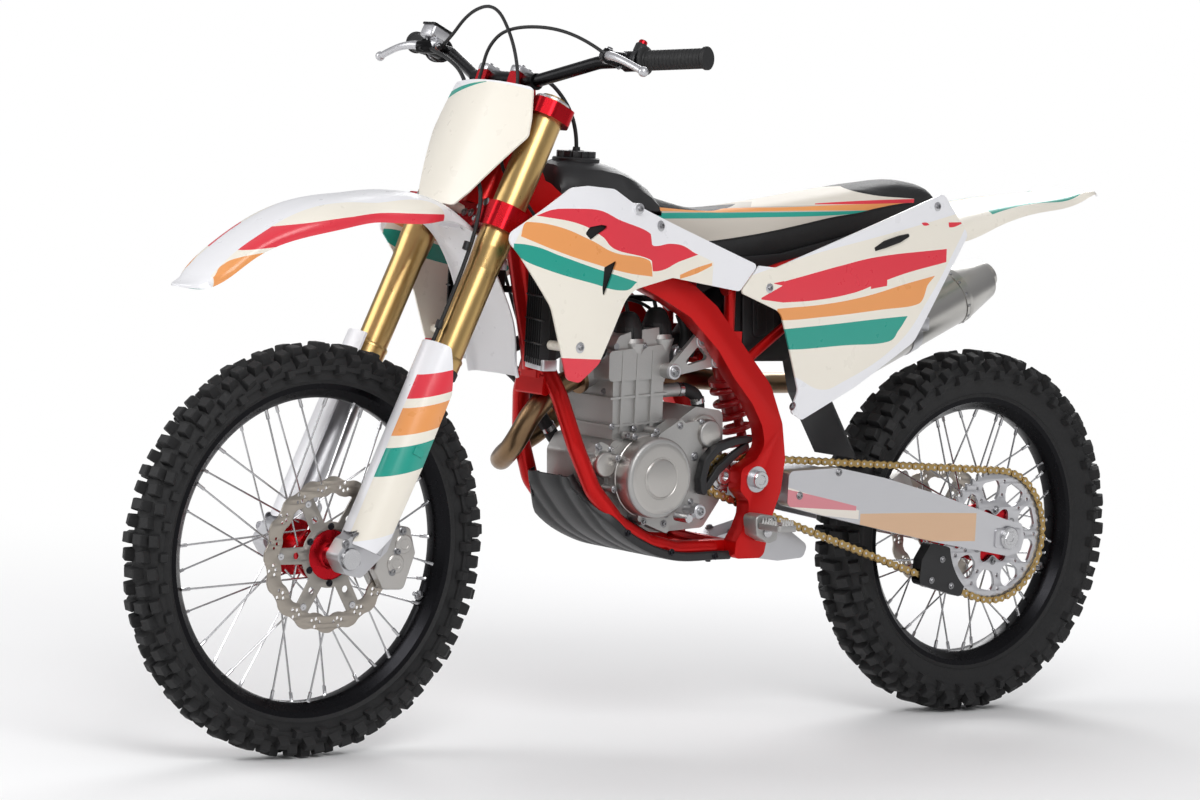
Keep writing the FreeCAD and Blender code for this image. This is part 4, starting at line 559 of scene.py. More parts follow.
def polar(centre, radius, angle):
    """A place in a plane, by its distance and angle from a centre."""
    return centre[0] + radius * math.cos(angle), centre[1] + radius * math.sin(angle)


def ring(centre, radius, steps=16):
    """A circle as an outline."""
    return [polar(centre, radius, a) for a in turns(steps)]


class Piece:
    """Collects shapes into one mesh with several finishes. Shapes are given in millimetres in the
    piece's own drawing, which place puts into the frame."""

    def __init__(self, name, place=DESIGN):
        self.name = name
        self.place = place
        self.bm = bmesh.new()
        self.mats = []

    def add(self, points, faces, mat, smooth=True, matrix=None):
        if mat not in self.mats:
            self.mats.append(mat)
        turn = self.place @ matrix if matrix is not None else self.place
        verts = [self.bm.verts.new(turn @ Vector(p)) for p in points]
        for f in faces:
            try:
                face = self.bm.faces.new([verts[i] for i in f])
            except ValueError:
                continue
            face.material_index = self.mats.index(mat)
            face.smooth = smooth

    def lathe(self, profile, mat, steps=64, centre=(0, 0, 0), axis=LEFT, closed=False, smooth=True):
        """Turns a profile of (distance along the axis, radius) about the axis; closed joins the
        profile's ends."""
        base = Vector(axis).to_track_quat("Z", "Y").to_matrix().to_4x4()
        base = Matrix.Translation(Vector(centre)) @ base
        count = len(profile)
        points = [base @ Vector((r * math.cos(a), r * math.sin(a), along))
                  for a in turns(steps) for along, r in profile]
        faces = []
        for k in range(steps):
            here, other = k * count, (k + 1) % steps * count
            for i in range(count if closed else count - 1):
                j = (i + 1) % count
                faces.append((here + i, other + i, other + j, here + j))
        self.add(points, faces, mat, smooth)

    def loft(self, sections, mat, caps=True):
        """A skin over sections with the same number of corners each."""
        count = len(sections[0])
        last = (len(sections) - 1) * count
        faces = [(i + k, i + (k + 1) % count, i + count + (k + 1) % count, i + count + k)
                 for i in range(0, last, count) for k in range(count)]
        if caps:
            faces += [tuple(reversed(range(count))), tuple(range(last, last + count))]
        self.add([p for section in sections for p in section], faces, mat)

    def tube(self, points, radius, mat, sides=12, caps=True):
        """A round bar along a line of points; radius is one number or one for each point."""
        spots = [Vector(p) for p in points]
        radii = radius if isinstance(radius, (list, tuple)) else [radius] * len(spots)
        ways = []
        for i in range(len(spots)):
            before = spots[max(i - 1, 0)]
            after = spots[min(i + 1, len(spots) - 1)]
            ways.append((after - before).normalized())
        side = ways[0].orthogonal().normalized()
        rings = []
        for spot, way, r in zip(spots, ways, radii):
            side = (side - way * side.dot(way)).normalized()
            up = way.cross(side)
            rings.append(
                [spot + side * (r * math.cos(a)) + up * (r * math.sin(a)) for a in turns(sides)])
        self.loft(rings, mat, caps)

    def flat(self, outline, low, high, mat, holes=(), bevel=1.0, plane="xz", steps=2):
        """A plate with a chamfered edge: its outline and holes in one plane, upright or level, and
        the two levels of its faces across it."""
        low, high = sorted((low, high))
        curve = bpy.data.curves.new("plate", "CURVE")
        curve.dimensions = "2D"
        curve.fill_mode = "BOTH"
        curve.extrude = max((high - low) / 2 - bevel, 0.01)
        curve.bevel_depth = bevel
        curve.bevel_resolution = steps
        curve.offset = -bevel
        for loop in (outline, *holes):
            spline = curve.splines.new("POLY")
            spline.points.add(len(loop) - 1)
            for point, corner in zip(spline.points, loop):
                point.co = (corner[0], corner[1], 0, 1)
            spline.use_cyclic_u = True
        holder = bpy.data.objects.new("plate", curve)
        mesh = bpy.data.meshes.new_from_object(holder)
        middle = (low + high) / 2
        if plane == "xz":
            lay = Matrix(((1, 0, 0, 0), (0, 0, -1, middle), (0, 1, 0, 0), (0, 0, 0, 1)))
        else:
            lay = Matrix.Translation((0, 0, middle))
        points = [lay @ v.co for v in mesh.vertices]
        faces = [tuple(f.vertices) for f in mesh.polygons]
        self.add(points, faces, mat)
        bpy.data.objects.remove(holder)
        bpy.data.curves.remove(curve)
        bpy.data.meshes.remove(mesh)

    def take(self, sub, mat, centre=(0, 0, 0)):
        """Adds another mesh's faces, moved to a centre."""
        sub.verts.index_update()
        self.add([v.co + Vector(centre) for v in sub.verts],
                 [tuple(v.index for v in f.verts) for f in sub.faces], mat)
        sub.free()

    def block(self, size, centre, mat, bevel=1.0, steps=2):
        """A box with rounded edges."""
        sub = bmesh.new()
        bmesh.ops.create_cube(sub, size=1.0)
        for v in sub.verts:
            v.co = Vector((v.co.x * size[0], v.co.y * size[1], v.co.z * size[2]))
        bmesh.ops.bevel(
            sub, geom=sub.edges[:], offset=bevel, segments=steps, profile=0.5, affect="EDGES")
        self.take(sub, mat, centre)

    def bolt(self, spot, way, radius, mat="bolt", height=None, washer=True):
        """A flanged bolt with a hexagon head and a dimple."""
        height = height or radius * 0.9
        way = Vector(way).normalized()
        spot = Vector(spot)
        if washer:
            self.lathe([(-0.5, 0.01), (-0.5, radius * 1.45), (radius * 0.16, radius * 1.45),
                        (radius * 0.3, radius * 1.25), (radius * 0.3, 0.01)], mat, 20, spot, way)
        self.lathe([(0, 0.01), (0, radius), (height - radius * 0.15, radius),
                    (height, radius * 0.86), (height, radius * 0.5), (height * 0.6, radius * 0.42),
                    (height * 0.6, 0.01)], mat, 6, spot, way, smooth=False)

    def bolt_circle(self, centre, radius, angles, level, way, size, mat="bolt"):
        """Bolts round a centre, all at one level across the machine."""
        for angle in angles:
            x, z = polar(centre, radius, angle)
            self.bolt((x, level, z), way, size, mat)

    def done(self, body, replaces=None, slot=None, split=35):
        """Makes the object, which rides on a body and stands for a CAD node it names."""
        bmesh.ops.remove_doubles(self.bm, verts=self.bm.verts, dist=0.000005)
        bmesh.ops.recalc_face_normals(self.bm, faces=self.bm.faces)
        mesh = bpy.data.meshes.new(self.name)
        self.bm.to_mesh(mesh)
        self.bm.free()
        for mat in self.mats:
            mesh.materials.append(MAT[mat])
        mesh.set_sharp_from_angle(angle=math.radians(split))
        enter(link_object(self.name, mesh), body, replaces)


def enter(obj, body, node=None):
    """Puts an object on a body, when one is given, and hides the CAD node it stands for."""
    if body:
        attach(obj, body)
    if node:
        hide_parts(node)


def cover(mesh, mat):
    """Gives a mesh one finish and smooth faces."""
    mesh.materials.clear()
    mesh.materials.append(MAT[mat])
    mesh.polygons.foreach_set("use_smooth", [True] * len(mesh.polygons))


def surface_tree(mesh):
    """A mesh's surface, to find places on."""
    return BVHTree.FromPolygons(
        [v.co for v in mesh.vertices], [tuple(f.vertices) for f in mesh.polygons])


def soften(corners, radius, steps=5):
    """An outline with its corners rounded; a corner may carry its own radius."""
    out = []
    count = len(corners)
    for i in range(count):
        here = Vector(corners[i][:2])
        own = corners[i][2] if len(corners[i]) > 2 else radius
        before = Vector(corners[i - 1][:2]) - here
        after = Vector(corners[(i + 1) % count][:2]) - here
        room = 0.49 * min(before.length, after.length)
        before.normalize()
        after.normalize()
        half = before.angle(after) / 2
        reach = min(own / math.tan(half), room) if own and half > 0.02 else 0
        if reach < 0.05 or half > math.radians(88):
            out.append((here.x, here.y))
            continue
        own = reach * math.tan(half)
        inward = (before + after).normalized()
        middle = here + inward * (own / math.sin(half))
        a = here + before * reach - middle
        b = here + after * reach - middle
        turn = a.angle_signed(b)
        for k in range(steps + 1):
            p = a.copy()
            p.rotate(Matrix.Rotation(-turn * k / steps, 2))
            out.append((middle.x + p.x, middle.y + p.y))
    return out


def smooth_line(points, steps=8):
    """Points along a smooth line through the given ones."""
    spots = [Vector(p) for p in points]
    padded = [spots[0] * 2 - spots[1]] + spots + [spots[-1] * 2 - spots[-2]]
    out = []
    for i in range(1, len(padded) - 2):
        a, b, c, d = padded[i - 1:i + 3]
        for k in range(steps):
            t = k / steps
            out.append(0.5 * ((2 * b) + (c - a) * t + (2 * a - 5 * b + 4 * c - d) * t * t
                              + (3 * b - a - 3 * c + d) * t ** 3))
    out.append(spots[-1])
    return out


# Wheels

def tyre(name, body, node, centre, tip, half, flange, rim_half, pitches, widths):
    """A knobbly tyre: a rounded carcass with tapered blocks in rows of different shapes. widths
    are the blocks' own, from the middle row out to the low one."""
    piece = Piece(name)
    x, z = centre
    depth = 17                # of the middle blocks
    base, outer = tip - depth, half - 13
    section = [
        (-rim_half + 4, flange - 10), (-rim_half - 1, flange + 1), (-rim_half - 4, flange + 5),
        (-rim_half - 3, flange + 9), (-outer * 0.86, flange + (base - flange) * 0.42),
        (-outer - 1, base - 28), (-outer * 0.94, base - 15), (-outer * 0.7, base - 5),
        (-outer * 0.36, base - 0.8), (0, base)]
    section += [(-a, r) for a, r in reversed(section[:-1])]
    profile = [(p.x, p.y) for p in smooth_line([(a, r, 0) for a, r in section], 3)]
    piece.lathe(profile, "tyre", 144, (x, 0, z))

    def knob(angle, y, r, length, width, height, turn=0.0, tilt=0.0):
        """One block, wider at its foot, which stands at a distance across and a radius."""
        points = []
        for level, grow in ((-6, 1.16), (height - 1.6, 1.0), (height, 0.86)):
            for sx, sy in ((-1, -1), (1, -1), (1, 1), (-1, 1)):
                a = sx * length / 2 * grow
                b = sy * width / 2 * grow
                ca, sa = math.cos(turn), math.sin(turn)
                points.append((a * ca - b * sa, a * sa + b * ca, level))
        faces = [(3, 2, 1, 0), (8, 9, 10, 11)]
        for low in (0, 4):
            for k in range(4):
                n = (k + 1) % 4
                faces.append((low + k, low + n, low + 4 + n, low + 4 + k))
        spot = (Matrix.Translation(Vector((x, 0, z))) @ Matrix.Rotation(-angle, 4, "Y")
                @ Matrix.Translation(Vector((0, y, r))) @ Matrix.Rotation(tilt, 4, "X"))
        piece.add(points, faces, "tyre", True, spot)

    step = 2 * math.pi / pitches
    middle, inner, shoulder, low = widths
    for k in range(pitches):
        a = k * step
        if k % 2:
            for side in (1, -1):
                knob(a, side * middle * 0.62, base, length=17, width=middle * 0.92, height=14.5,
                     tilt=-side * 0.10)
        else:
            knob(a, 0, base, length=15, width=middle * 1.25, height=16)
        for side in (1, -1):
            knob(a + step * 0.5, side * outer * 0.56, base - 3, length=18, width=inner, height=14.5,
                 turn=side * 0.16, tilt=-side * 0.34)
            knob(a, side * (outer - 5), base - 14, length=19, width=shoulder, height=16,
                 turn=side * 0.1, tilt=-side * 0.82)
            knob(a + step * 0.5, side * (outer + 1), base - 27, length=14, width=low, height=9,
                 tilt=-side * 1.35)
    piece.done(body, node, "tyre_rubber", 28)


def wheel_rim(name, body, node, centre, flange, half, hub_r, hub_y, count=18):
    """A drop-centre rim with crossed steel spokes, each with its nipple and bent head, and the
    rim lock's bolt."""
    piece = Piece(name)
    x, z = centre
    bed = flange - 26
    crossing, spoke_r = math.radians(62), 1.7
    section = [
        (-half, flange - 1), (-half + 1, flange), (-half + 3, flange), (-half + 4.2, flange - 3),
        (-half + 4.4, flange - 12), (-half * 0.5, flange - 14.5), (0, flange - 15),
        (half * 0.5, flange - 14.5), (half - 4.4, flange - 12), (half - 4.2, flange - 3),
        (half - 3, flange), (half - 1, flange), (half, flange - 1), (half - 0.6, flange - 10),
        (half * 0.8, flange - 15), (half * 0.62, flange - 20), (half * 0.44, bed + 1),
        (half * 0.36, bed), (-half * 0.36, bed), (-half * 0.44, bed + 1),
        (-half * 0.62, flange - 20), (-half * 0.8, flange - 15), (-half + 0.6, flange - 10)]
    piece.lathe(section, "rim_black", 128, (x, 0, z), closed=True)

    def across(radius, angle, y):
        spot_x, spot_z = polar(centre, radius, angle)
        return Vector((spot_x, y, spot_z))

    step = 2 * math.pi / count
    for side in (1, -1):
        for k in range(count):
            outside = k % 2 == 0
            start = k * step + side * step / 4
            end = start + (crossing if outside else -crossing)
            y0 = side * (hub_y + (3.2 if outside else -3.2))
            y1 = side * (8.0 if outside else 2.0)
            inner, outer = across(hub_r - 5, start, y0), across(bed + 1, end, y1)
            way = (outer - inner).normalized()
            piece.tube([inner, outer], spoke_r, "steel", 8, caps=False)
            piece.tube([outer - way * 17, outer - way * 16, outer - way * 2, outer],
                       [2.0, 3.1, 3.1, 4.2], "steel", 8)
            piece.tube([inner - Vector((0, side * (4.6 if outside else -4.6), 0)), inner,
                        inner + way * 5], [1.9, 2.3, 1.8], "steel", 8)
    lock = math.radians(200)
    spot = across(bed + 1, lock, 0)
    inward = Vector((-math.cos(lock), 0, -math.sin(lock)))
    piece.tube([spot, spot + inward * 16], 4, "steel", 10)
    piece.lathe([(0, 0.1), (0, 9), (5, 9), (6, 7), (6, 0.1)], "bolt", 6, spot + inward * 2,
                inward, smooth=False)
    piece.done(body, node, "rim_black")


def hub(name, body, node, centre, profile, flange_r, flange_y, holes=18):
    """A red hub turned from bar, its flanges drilled for the spoke heads."""
    piece = Piece(name)
    x, z = centre
    piece.lathe(profile, "red", 72, (x, 0, z), closed=True)
    for side in (1, -1):
        for a in turns(holes, 0.25):
            hole_x, hole_z = polar(centre, flange_r - 5, a)
            piece.lathe([(0, 0.01), (0, 2.9), (0.5, 2.7), (0.5, 0.01)], "steel", 8,
                        (hole_x, side * (flange_y + 4.05), hole_z), (0, side, 0))
    piece.done(body, node, "anodised_red")


def brake_disc(name, body, node, centre, y, outer, inner, carrier, lobes, side):
    """A waved disc with drilled holes on a scalloped carrier with rivets and bolts."""
    piece = Piece(name)
    thick = 3.5
    edge, inside = [], []
    for a in turns(lobes * 12):
        wave = max(-1, min(1, math.cos(a * lobes) * 1.4))
        edge.append(polar(centre, outer - 2.6 + 2.6 * wave, a))
        inside.append(polar(centre, inner + 2.2 * wave, a))
    holes = [inside]
    for a in turns(lobes, 0.5):
        for r, da, size in ((outer - 9, 0.0, 3.2), (outer - 18, 0.07, 3.0),
                            (outer - 18, -0.07, 3.0), (inner + 8, 0.0, 3.2)):
            holes.append(ring(polar(centre, r, a + da), size, 10))
    piece.flat(edge, y, y + thick, "disc", holes, 0.4, steps=1)
    arms = 6
    spider = [polar(centre, inner + 3 if k % 8 in (0, 1, 7) else carrier + 3, a)
              for k, a in enumerate(turns(arms * 8))]
    windows = [ring(polar(centre, carrier + 15, a), 6, 12) for a in turns(arms)]
    windows.append(ring(centre, carrier - 10, 32))
    piece.flat(spider, y + 0.3, y + 3.2, "carrier", windows, 0.4, steps=1)
    face = y + (thick if side > 0 else 0)
    for a in turns(arms):
        rivet_x, rivet_z = polar(centre, inner - 2, a)
        piece.lathe([(-0.4, 0.1), (-0.4, 6.5), (1.0, 6.0), (1.4, 3), (0.8, 0.1)], "steel", 16,
                    (rivet_x, face, rivet_z), (0, side, 0))
        piece.bolt_circle(centre, carrier - 5, [a + 0.5], face, (0, side, 0), 4.2, "dark_bolt")
    piece.done(body, node, "disc_steel")


tyre("front_knobbly_tyre", "front_wheel", "front_tyre", FRONT_AXLE, tip=347, half=46, flange=280,
     rim_half=24, pitches=38, widths=(24, 17, 15, 13))
tyre("rear_knobbly_tyre", "rear_wheel", "rear_tyre", REAR_AXLE, tip=340, half=60, flange=254,
     rim_half=31, pitches=36, widths=(32, 22, 18, 15))
wheel_rim("front_wire_rim", "front_wheel", "front_rim", FRONT_AXLE, flange=280, half=24, hub_r=47,
          hub_y=37)
wheel_rim(
    "rear_wire_rim", "rear_wheel", "rear_rim", REAR_AXLE, flange=254, half=31, hub_r=54, hub_y=38)
hub("front_turned_hub", "front_wheel", "front_hub", FRONT_AXLE,
    [(-76, 10.5), (76, 10.5), (76, 21), (75, 22), (70, 24), (67, 49), (65.5, 50), (61, 52),
     (60, 51), (52, 36), (42, 31), (41, 46), (40, 47), (34, 47), (33, 46), (31, 26), (20, 25),
     (-20, 25), (-31, 26), (-33, 46), (-34, 47), (-40, 47), (-41, 46), (-42, 31), (-60, 27),
     (-75, 22), (-76, 21)], flange_r=47, flange_y=37)
hub("rear_turned_hub", "rear_wheel", "rear_hub", REAR_AXLE,
    [(-76, 13), (81, 13), (81, 55), (80, 56), (75, 58), (74, 57), (66, 41), (42, 38), (42, 53),
     (41, 54), (35, 54), (34, 53), (32, 32), (20, 30), (-20, 30), (-32, 32), (-34, 53), (-35, 54),
     (-41, 54), (-42, 53), (-43, 39), (-56, 40), (-64, 51), (-65, 50), (-68, 40), (-75, 26)],
    flange_r=54, flange_y=38)
brake_disc("front_waved_disc", "front_wheel", "front_disc", FRONT_AXLE, y=66, outer=130, inner=100,
           carrier=52, lobes=16, side=1)
brake_disc("rear_waved_disc", "rear_wheel", "rear_disc", REAR_AXLE, y=-68, outer=120, inner=92,
           carrier=52, lobes=14, side=-1)


# Drive

def pitch_radius(teeth):
    """The radius of a sprocket's pins."""
    return CHAIN_PITCH / 2 / math.sin(math.pi / teeth)


def chain_pins():
    """The pins of the chain: evenly spaced along its loop, from the rear sprocket's top forward."""
    front_r, rear_r = pitch_radius(FRONT_TEETH), pitch_radius(REAR_TEETH)
    rear = Vector((REAR_AXLE[0], CHAIN_Y, REAR_AXLE[1]))
    front = Vector((FRONT_SPROCKET[0], CHAIN_Y, FRONT_SPROCKET[1]))
    along = front - rear
    slope = math.atan2(along.z, along.x)
    half = math.acos((rear_r - front_r) / along.length)
    run = math.sqrt(along.length ** 2 - (rear_r - front_r) ** 2)

    def at(centre, radius, angle):
        return centre + Vector((radius * math.cos(angle), 0, radius * math.sin(angle)))

    lengths = (run, front_r * 2 * half, run, rear_r * 2 * (math.pi - half))
    spots = []
    for k in range(LINKS):
        way = sum(lengths) * k / LINKS
        leg = 0
        while way > lengths[leg]:
            way -= lengths[leg]
            leg += 1
        if leg % 2:
            centre, radius, start = ((front, front_r, slope + half), (rear, rear_r, slope - half))[
                leg // 2]
            spots.append(at(centre, radius, start - way / radius))
        else:
            sign = 1 if leg == 0 else -1
            ends = [at(rear, rear_r, slope + sign * half), at(front, front_r, slope + sign * half)]
            if leg:
                ends.reverse()
            spots.append(ends[0].lerp(ends[1], way / run))
    return spots


def roller_chain(pins):
    """Waisted plates in pairs, inner and outer by turns, on pins with rollers."""
    piece = Piece("roller_chain")
    outer_link = (6.9, (-8.6, -7.3, 7.3, 8.6))
    inner_link = (6.6, (-6.9, -5.5, 5.5, 6.9))
    for k, pin in enumerate(pins):
        step = pins[(k + 1) % LINKS] - pin
        out = step.cross(Vector((0, 1, 0))).normalized()
        way = step.normalized()
        size, layers = outer_link if k % 2 else inner_link
        shape = []
        for centre, start in ((0.0, 90), (step.length, -90)):
            for turn in range(0, 181, 30):
                shape.append(polar((centre, 0), size, math.radians(start + turn)))
            shape.append((step.length / 2, (-1 if start > 0 else 1) * size * 0.66))
        count = len(shape)
        for low, high in (layers[:2], layers[2:]):
            points = [
                pin + way * u + out * v + Vector((0, y, 0)) for y in (low, high) for u, v in shape]
            faces = [tuple(range(count)), tuple(reversed(range(count, 2 * count)))]
            faces += [
                (i, (i + 1) % count, count + (i + 1) % count, count + i) for i in range(count)]
            piece.add(points, faces, "chain", False)
        piece.lathe([(-5.4, 5), (5.4, 5)], "steel", 10, pin)
        piece.lathe([(-9, 0.1), (-9, 2.4), (9, 2.4), (9, 0.1)], "steel", 8, pin)
    piece.done("frame", "chain", "chain_gold")


def toothed(centre, teeth, phase):
    """A sprocket's outline, its roots under the rollers of a chain whose pins start at phase."""
    tooth = ((0, -5.1), (0.16, -4.4), (0.3, -1.2), (0.42, 3.0), (0.5, 3.6), (0.58, 3.0), (0.7, -1.2),
             (0.84, -4.4))
    return [polar(centre, pitch_radius(teeth) + r, phase + 2 * math.pi * (k + turn) / teeth)
            for k in range(teeth) for turn, r in tooth]


def drive():
    """The chain, and the rear sprocket with its windows and bolts."""
    pins = chain_pins()
    roller_chain(pins)
    x, z = REAR_AXLE
    pin = pins[LINKS * 7 // 8]
    holes = [[polar(REAR_AXLE, 46 + 9 * math.cos(6 * a), a) for a in turns(72)]]
    side = [(67, 0.16), (80, 0.24), (93, 0.25), (104, 0.18)]
    window = side + [(r, -da) for r, da in reversed(side)]
    for a in turns(9):
        holes.append(soften([polar(REAR_AXLE, r, a + da) for r, da in window], 10, 4))
        for r in (76, 102):
            holes.append(ring(polar(REAR_AXLE, r, a + 0.35), 3.6, 12))
    piece = Piece("toothed_rear_sprocket")
    piece.flat(toothed(REAR_AXLE, REAR_TEETH, math.atan2(pin.z - z, pin.x - x)), CHAIN_Y - TOOTH_HALF,
               CHAIN_Y + TOOTH_HALF, "alloy", holes, 0.6, steps=1)
    piece.bolt_circle(REAR_AXLE, 48, turns(6, 0.5), CHAIN_Y + TOOTH_HALF, LEFT, 5.2)
    piece.done("rear_wheel", "rear_sprocket", "alloy")


# Engine

CRANK = (850.0, 468.0)
CLUTCH = (760.0, 470.0)


def engine_left():
    """The turned faces of the left covers and their bolts, the engine's mounting bolts, the front
    sprocket behind its guard, and two ribbed caps with their leads."""
    piece = Piece("engine_left_covers")
    x, z = CRANK
    piece.lathe(
        [(95, 0.1), (95, 72), (98, 72), (99, 70.7), (124, 70.6), (130, 69.2), (134, 66),
         (136.2, 61), (136.7, 54), (136.9, 37), (136.2, 36), (136.2, 34.6), (137.2, 33.4),
         (139.4, 32), (140.3, 28), (140.6, 0.1)], "cover", 96, (x, 0, z))
    piece.lathe([(72, 0.1), (72, 31.8), (82.6, 31.6), (83.4, 30), (83.4, 25.4), (95, 24.8),
                 (99, 22.6), (100.8, 18), (101.2, 0.1)], "cover", 48, (712, 0, 540))
    piece.lathe([(80, 0.1), (80, 22.8), (90, 22.7), (93.6, 20.2), (94.8, 15), (94.9, 0.1)], "cover",
                40, (937, 0, 489))
    angles = [math.radians(a) for a in (25, 62, 98, 150, 195, 238, 275, 345)]
    piece.bolt_circle(CRANK, 79, angles, 104, LEFT, 4.3)
    for spot, size in (
            ((849, 108, 538), 4.6), ((790, 108, 556), 4.3), ((812, 104, 385), 4.6),
            ((858, 104, 402), 4.6), ((922, 84, 514), 4.3), ((948, 84, 516), 4.3),
            ((742, 82.4, 540), 4.0), ((683, 82.4, 532), 4.0), ((741, 92, 500), 5.5),
            ((728, 92, 560), 4.3), ((704, 75, 392), 4.3), ((744, 92, 420), 4.3)):
        piece.bolt(spot, LEFT, size)
    for spot in ((800, 96.5, 649), (741, 96.5, 704), (704, 96.5, 669)):
        piece.lathe([(-6, 13.6), (0.4, 13.6), (1.2, 12.6), (1.2, 0.1)], "alloy", 24, spot)
        piece.bolt(Vector(spot) + Vector((0, 1, 0)), LEFT, 6.6)
    guard = [(626, 536), (668, 533), (708, 522), (733, 496), (741, 462), (736, 434), (722, 434),
             (726, 462), (719, 490), (698, 509), (664, 520), (626, 526)]
    piece.flat(soften(guard, 14), 94, 112, "black_plastic", bevel=2)
    strap = [(628, 528), (664, 508), (700, 482), (727, 446), (716, 440), (692, 470), (658, 496),
             (632, 513)]
    piece.flat(soften(strap, 8), 97, 107, "black_plastic", bevel=1.5)
    sprocket_x, sprocket_z = FRONT_SPROCKET
    piece.flat(toothed(FRONT_SPROCKET, FRONT_TEETH, 0.1), CHAIN_Y - TOOTH_HALF,
               CHAIN_Y + TOOTH_HALF, "steel", (), 0.6, steps=1)
    piece.lathe([(88, 0.1), (88, 24), (90, 25), (93, 24), (94, 17), (99, 16), (101, 14), (101, 8),
                 (95, 7.4), (95, 0.1)], "steel", 32, (sprocket_x, 0, sprocket_z))
    piece.bolt_circle(FRONT_SPROCKET, 19, [a + 0.4 for a in turns(4)], 93, LEFT, 2.6)
    for sx, sz in ((861, 704), (799, 712)):
        spot = (sx, 40, sz)
        piece.lathe([(-12, 0.1), (-12, 25.6), (-4, 26.4), (-2, 25), (18, 25.4), (21, 23.8),
                     (36, 18.4), (42, 14), (45, 9), (46, 0.1)], "rubber", 40, spot, (0.1, 0, 1))
        for a in turns(10):
            foot = Vector(spot) + Vector((*polar((0, 0), 25.6, a), -1))
            piece.tube([foot, foot + Vector((1.8 - 1.4 * math.cos(a), -1.4 * math.sin(a), 20))],
                       1.5, "rubber", 6)
        piece.lathe([(6, 0.1), (6, 24.6), (15, 25.4), (19, 24.6), (22, 21.4), (44, 14.6), (66, 8.4),
                     (82, 5.6), (86, 4), (87, 0.1)], "cast", 36, (sx, 42, sz), (0, 0.24, -1))
        piece.tube(smooth_line([(sx + 4, 40, sz + 40), (sx + 7, 37, sz + 56), (sx + 2, 26, sz + 72),
                                (sx - 18, 12, sz + 82)]), 3.6, "rubber", 10)
    piece.done("frame")


def engine_hoses():
    """Water hoses with their clamps, the head stay and the pipes round the throttle body."""
    piece = Piece("engine_hoses")
    hoses = (
        (11.6, [(760, 50, 614), (738, 50, 614), (714, 49, 605), (703, 47, 590), (700, 46, 568)]),
        (9.0, [(752, 44, 746), (743, 47, 722), (741, 46, 700), (746, 40, 676)]),
        (7.0, [(724, 32, 762), (718, 38, 730), (712, 38, 700), (716, 32, 670)]))
    for radius, line in hoses:
        piece.tube(smooth_line(line), radius, "rubber", 16)
    for side in (1, -1):
        line = smooth_line([(914, side * 42, 668), (950, side * 50, 690), (1004, side * 56, 692),
                            (1070, side * 66, 668)])
        piece.tube(line, 12.5, "rubber", 18)
    line = smooth_line(
        [(905, -100, 516), (940, -98, 556), (990, -92, 618), (1050, -86, 656), (1076, -84, 666)])
    piece.tube(line, 12.5, "rubber", 18)
    for spot, way, radius in (
            ((750, 50, 614), (1, 0, 0), 12.6), ((704, 47, 594), (0.3, 0, 1), 12.6),
            ((924, 46, 676), (1, 0.2, 0.5), 13.5), ((924, -46, 676), (1, -0.2, 0.5), 13.5),
            ((1060, 64, 672), (1, 0.2, -0.4), 13.5), ((1060, -64, 672), (1, -0.2, -0.4), 13.5),
            ((920, -99, 534), (0.6, 0, 0.8), 13.5)):
        piece.lathe([(-4.5, radius - 1), (-4.5, radius), (4.5, radius), (4.5, radius - 1)],
                    "steel", 28, spot, way, closed=True)
    stay = [(702, 752), (728, 746), (760, 768), (752, 784), (722, 780), (702, 770)]
    for side in (1, -1):
        piece.flat(soften(stay, 8), side * 14, side * 20, "alloy", bevel=1)
        piece.bolt((726, side * 20, 763), (0, side, 0), 7.5)
    piece.block((96, 16, 11), (800, 0, 770), "black_metal", 3)
    piece.lathe([(0, 14), (0, 18), (13, 18), (15, 16), (15, 0.1)], "alloy", 28, (744, 31, 674))
    piece.bolt_circle((744, 674), 14, (0, 2.1, 4.2), 45.4, LEFT, 2.6)
    for side in (1, -1):
        piece.bolt((941, side * 24, 640), (0.92, 0, -0.38), 5)
    piece.done("frame")


def engine_right():
    """The clutch and pump covers of the right side, with their bolts."""
    piece = Piece("engine_right_covers")
    piece.lathe(
        [(88, 0.1), (88, 86.8), (99, 86.6), (100.6, 84.6), (101, 79), (113, 78.6), (119, 76.4),
         (122, 72), (122.9, 66), (123, 44), (122.2, 42.8), (122.2, 0.1)], "cover", 96,
        (CLUTCH[0], 0, CLUTCH[1]), RIGHT)
    piece.lathe([(86, 0.1), (86, 37), (100, 36.8), (109, 35.4), (113.4, 31.8), (115, 25),
                 (115.2, 0.1)], "cover", 48, (872, 0, 452), RIGHT)
    angles = [math.radians(10 + 40 * k) for k in range(9)]
    piece.bolt_circle(CLUTCH, 82, angles, -108, RIGHT, 4.3)
    angles = [math.radians(20 + 90 * k) for k in range(4)]
    piece.bolt_circle((872, 452), 30, angles, -112.5, RIGHT, 3.6)
    for x, z in ((840, 520), (884, 492), (906, 440), (812, 528)):
        piece.bolt((x, -98, z), RIGHT, 4.3)
    piece.done("frame")


# Bolts and fittings seated on the CAD surfaces

TREES = {}


def surface_of(node):
    """A CAD node's surface, built once."""
    if node not in TREES:
        TREES[node] = surface_tree(frame["nodes"][node].data)
    return TREES[node]


def in_design(spot):
    """A place in the frame as a design point."""
    return Vector((spot.x * 1000 + SEAT_POINT[0], spot.y * 1000, spot.z * 1000 + SEAT_POINT[2]))


def seat_on(node, x, z, side=1, inside=0.0):
    """Where a line across the machine first meets a node, and the outward normal there."""
    hit, normal, _, _ = surface_of(node).ray_cast(P(x, side * 500, z), Vector((0, -side, 0)))
    if not hit:
        hit, normal, _, _ = surface_of(node).find_nearest(P(x, side * 200, z))
    if normal.y * side < 0:
        normal = -normal
    return in_design(hit) - normal * inside, normal


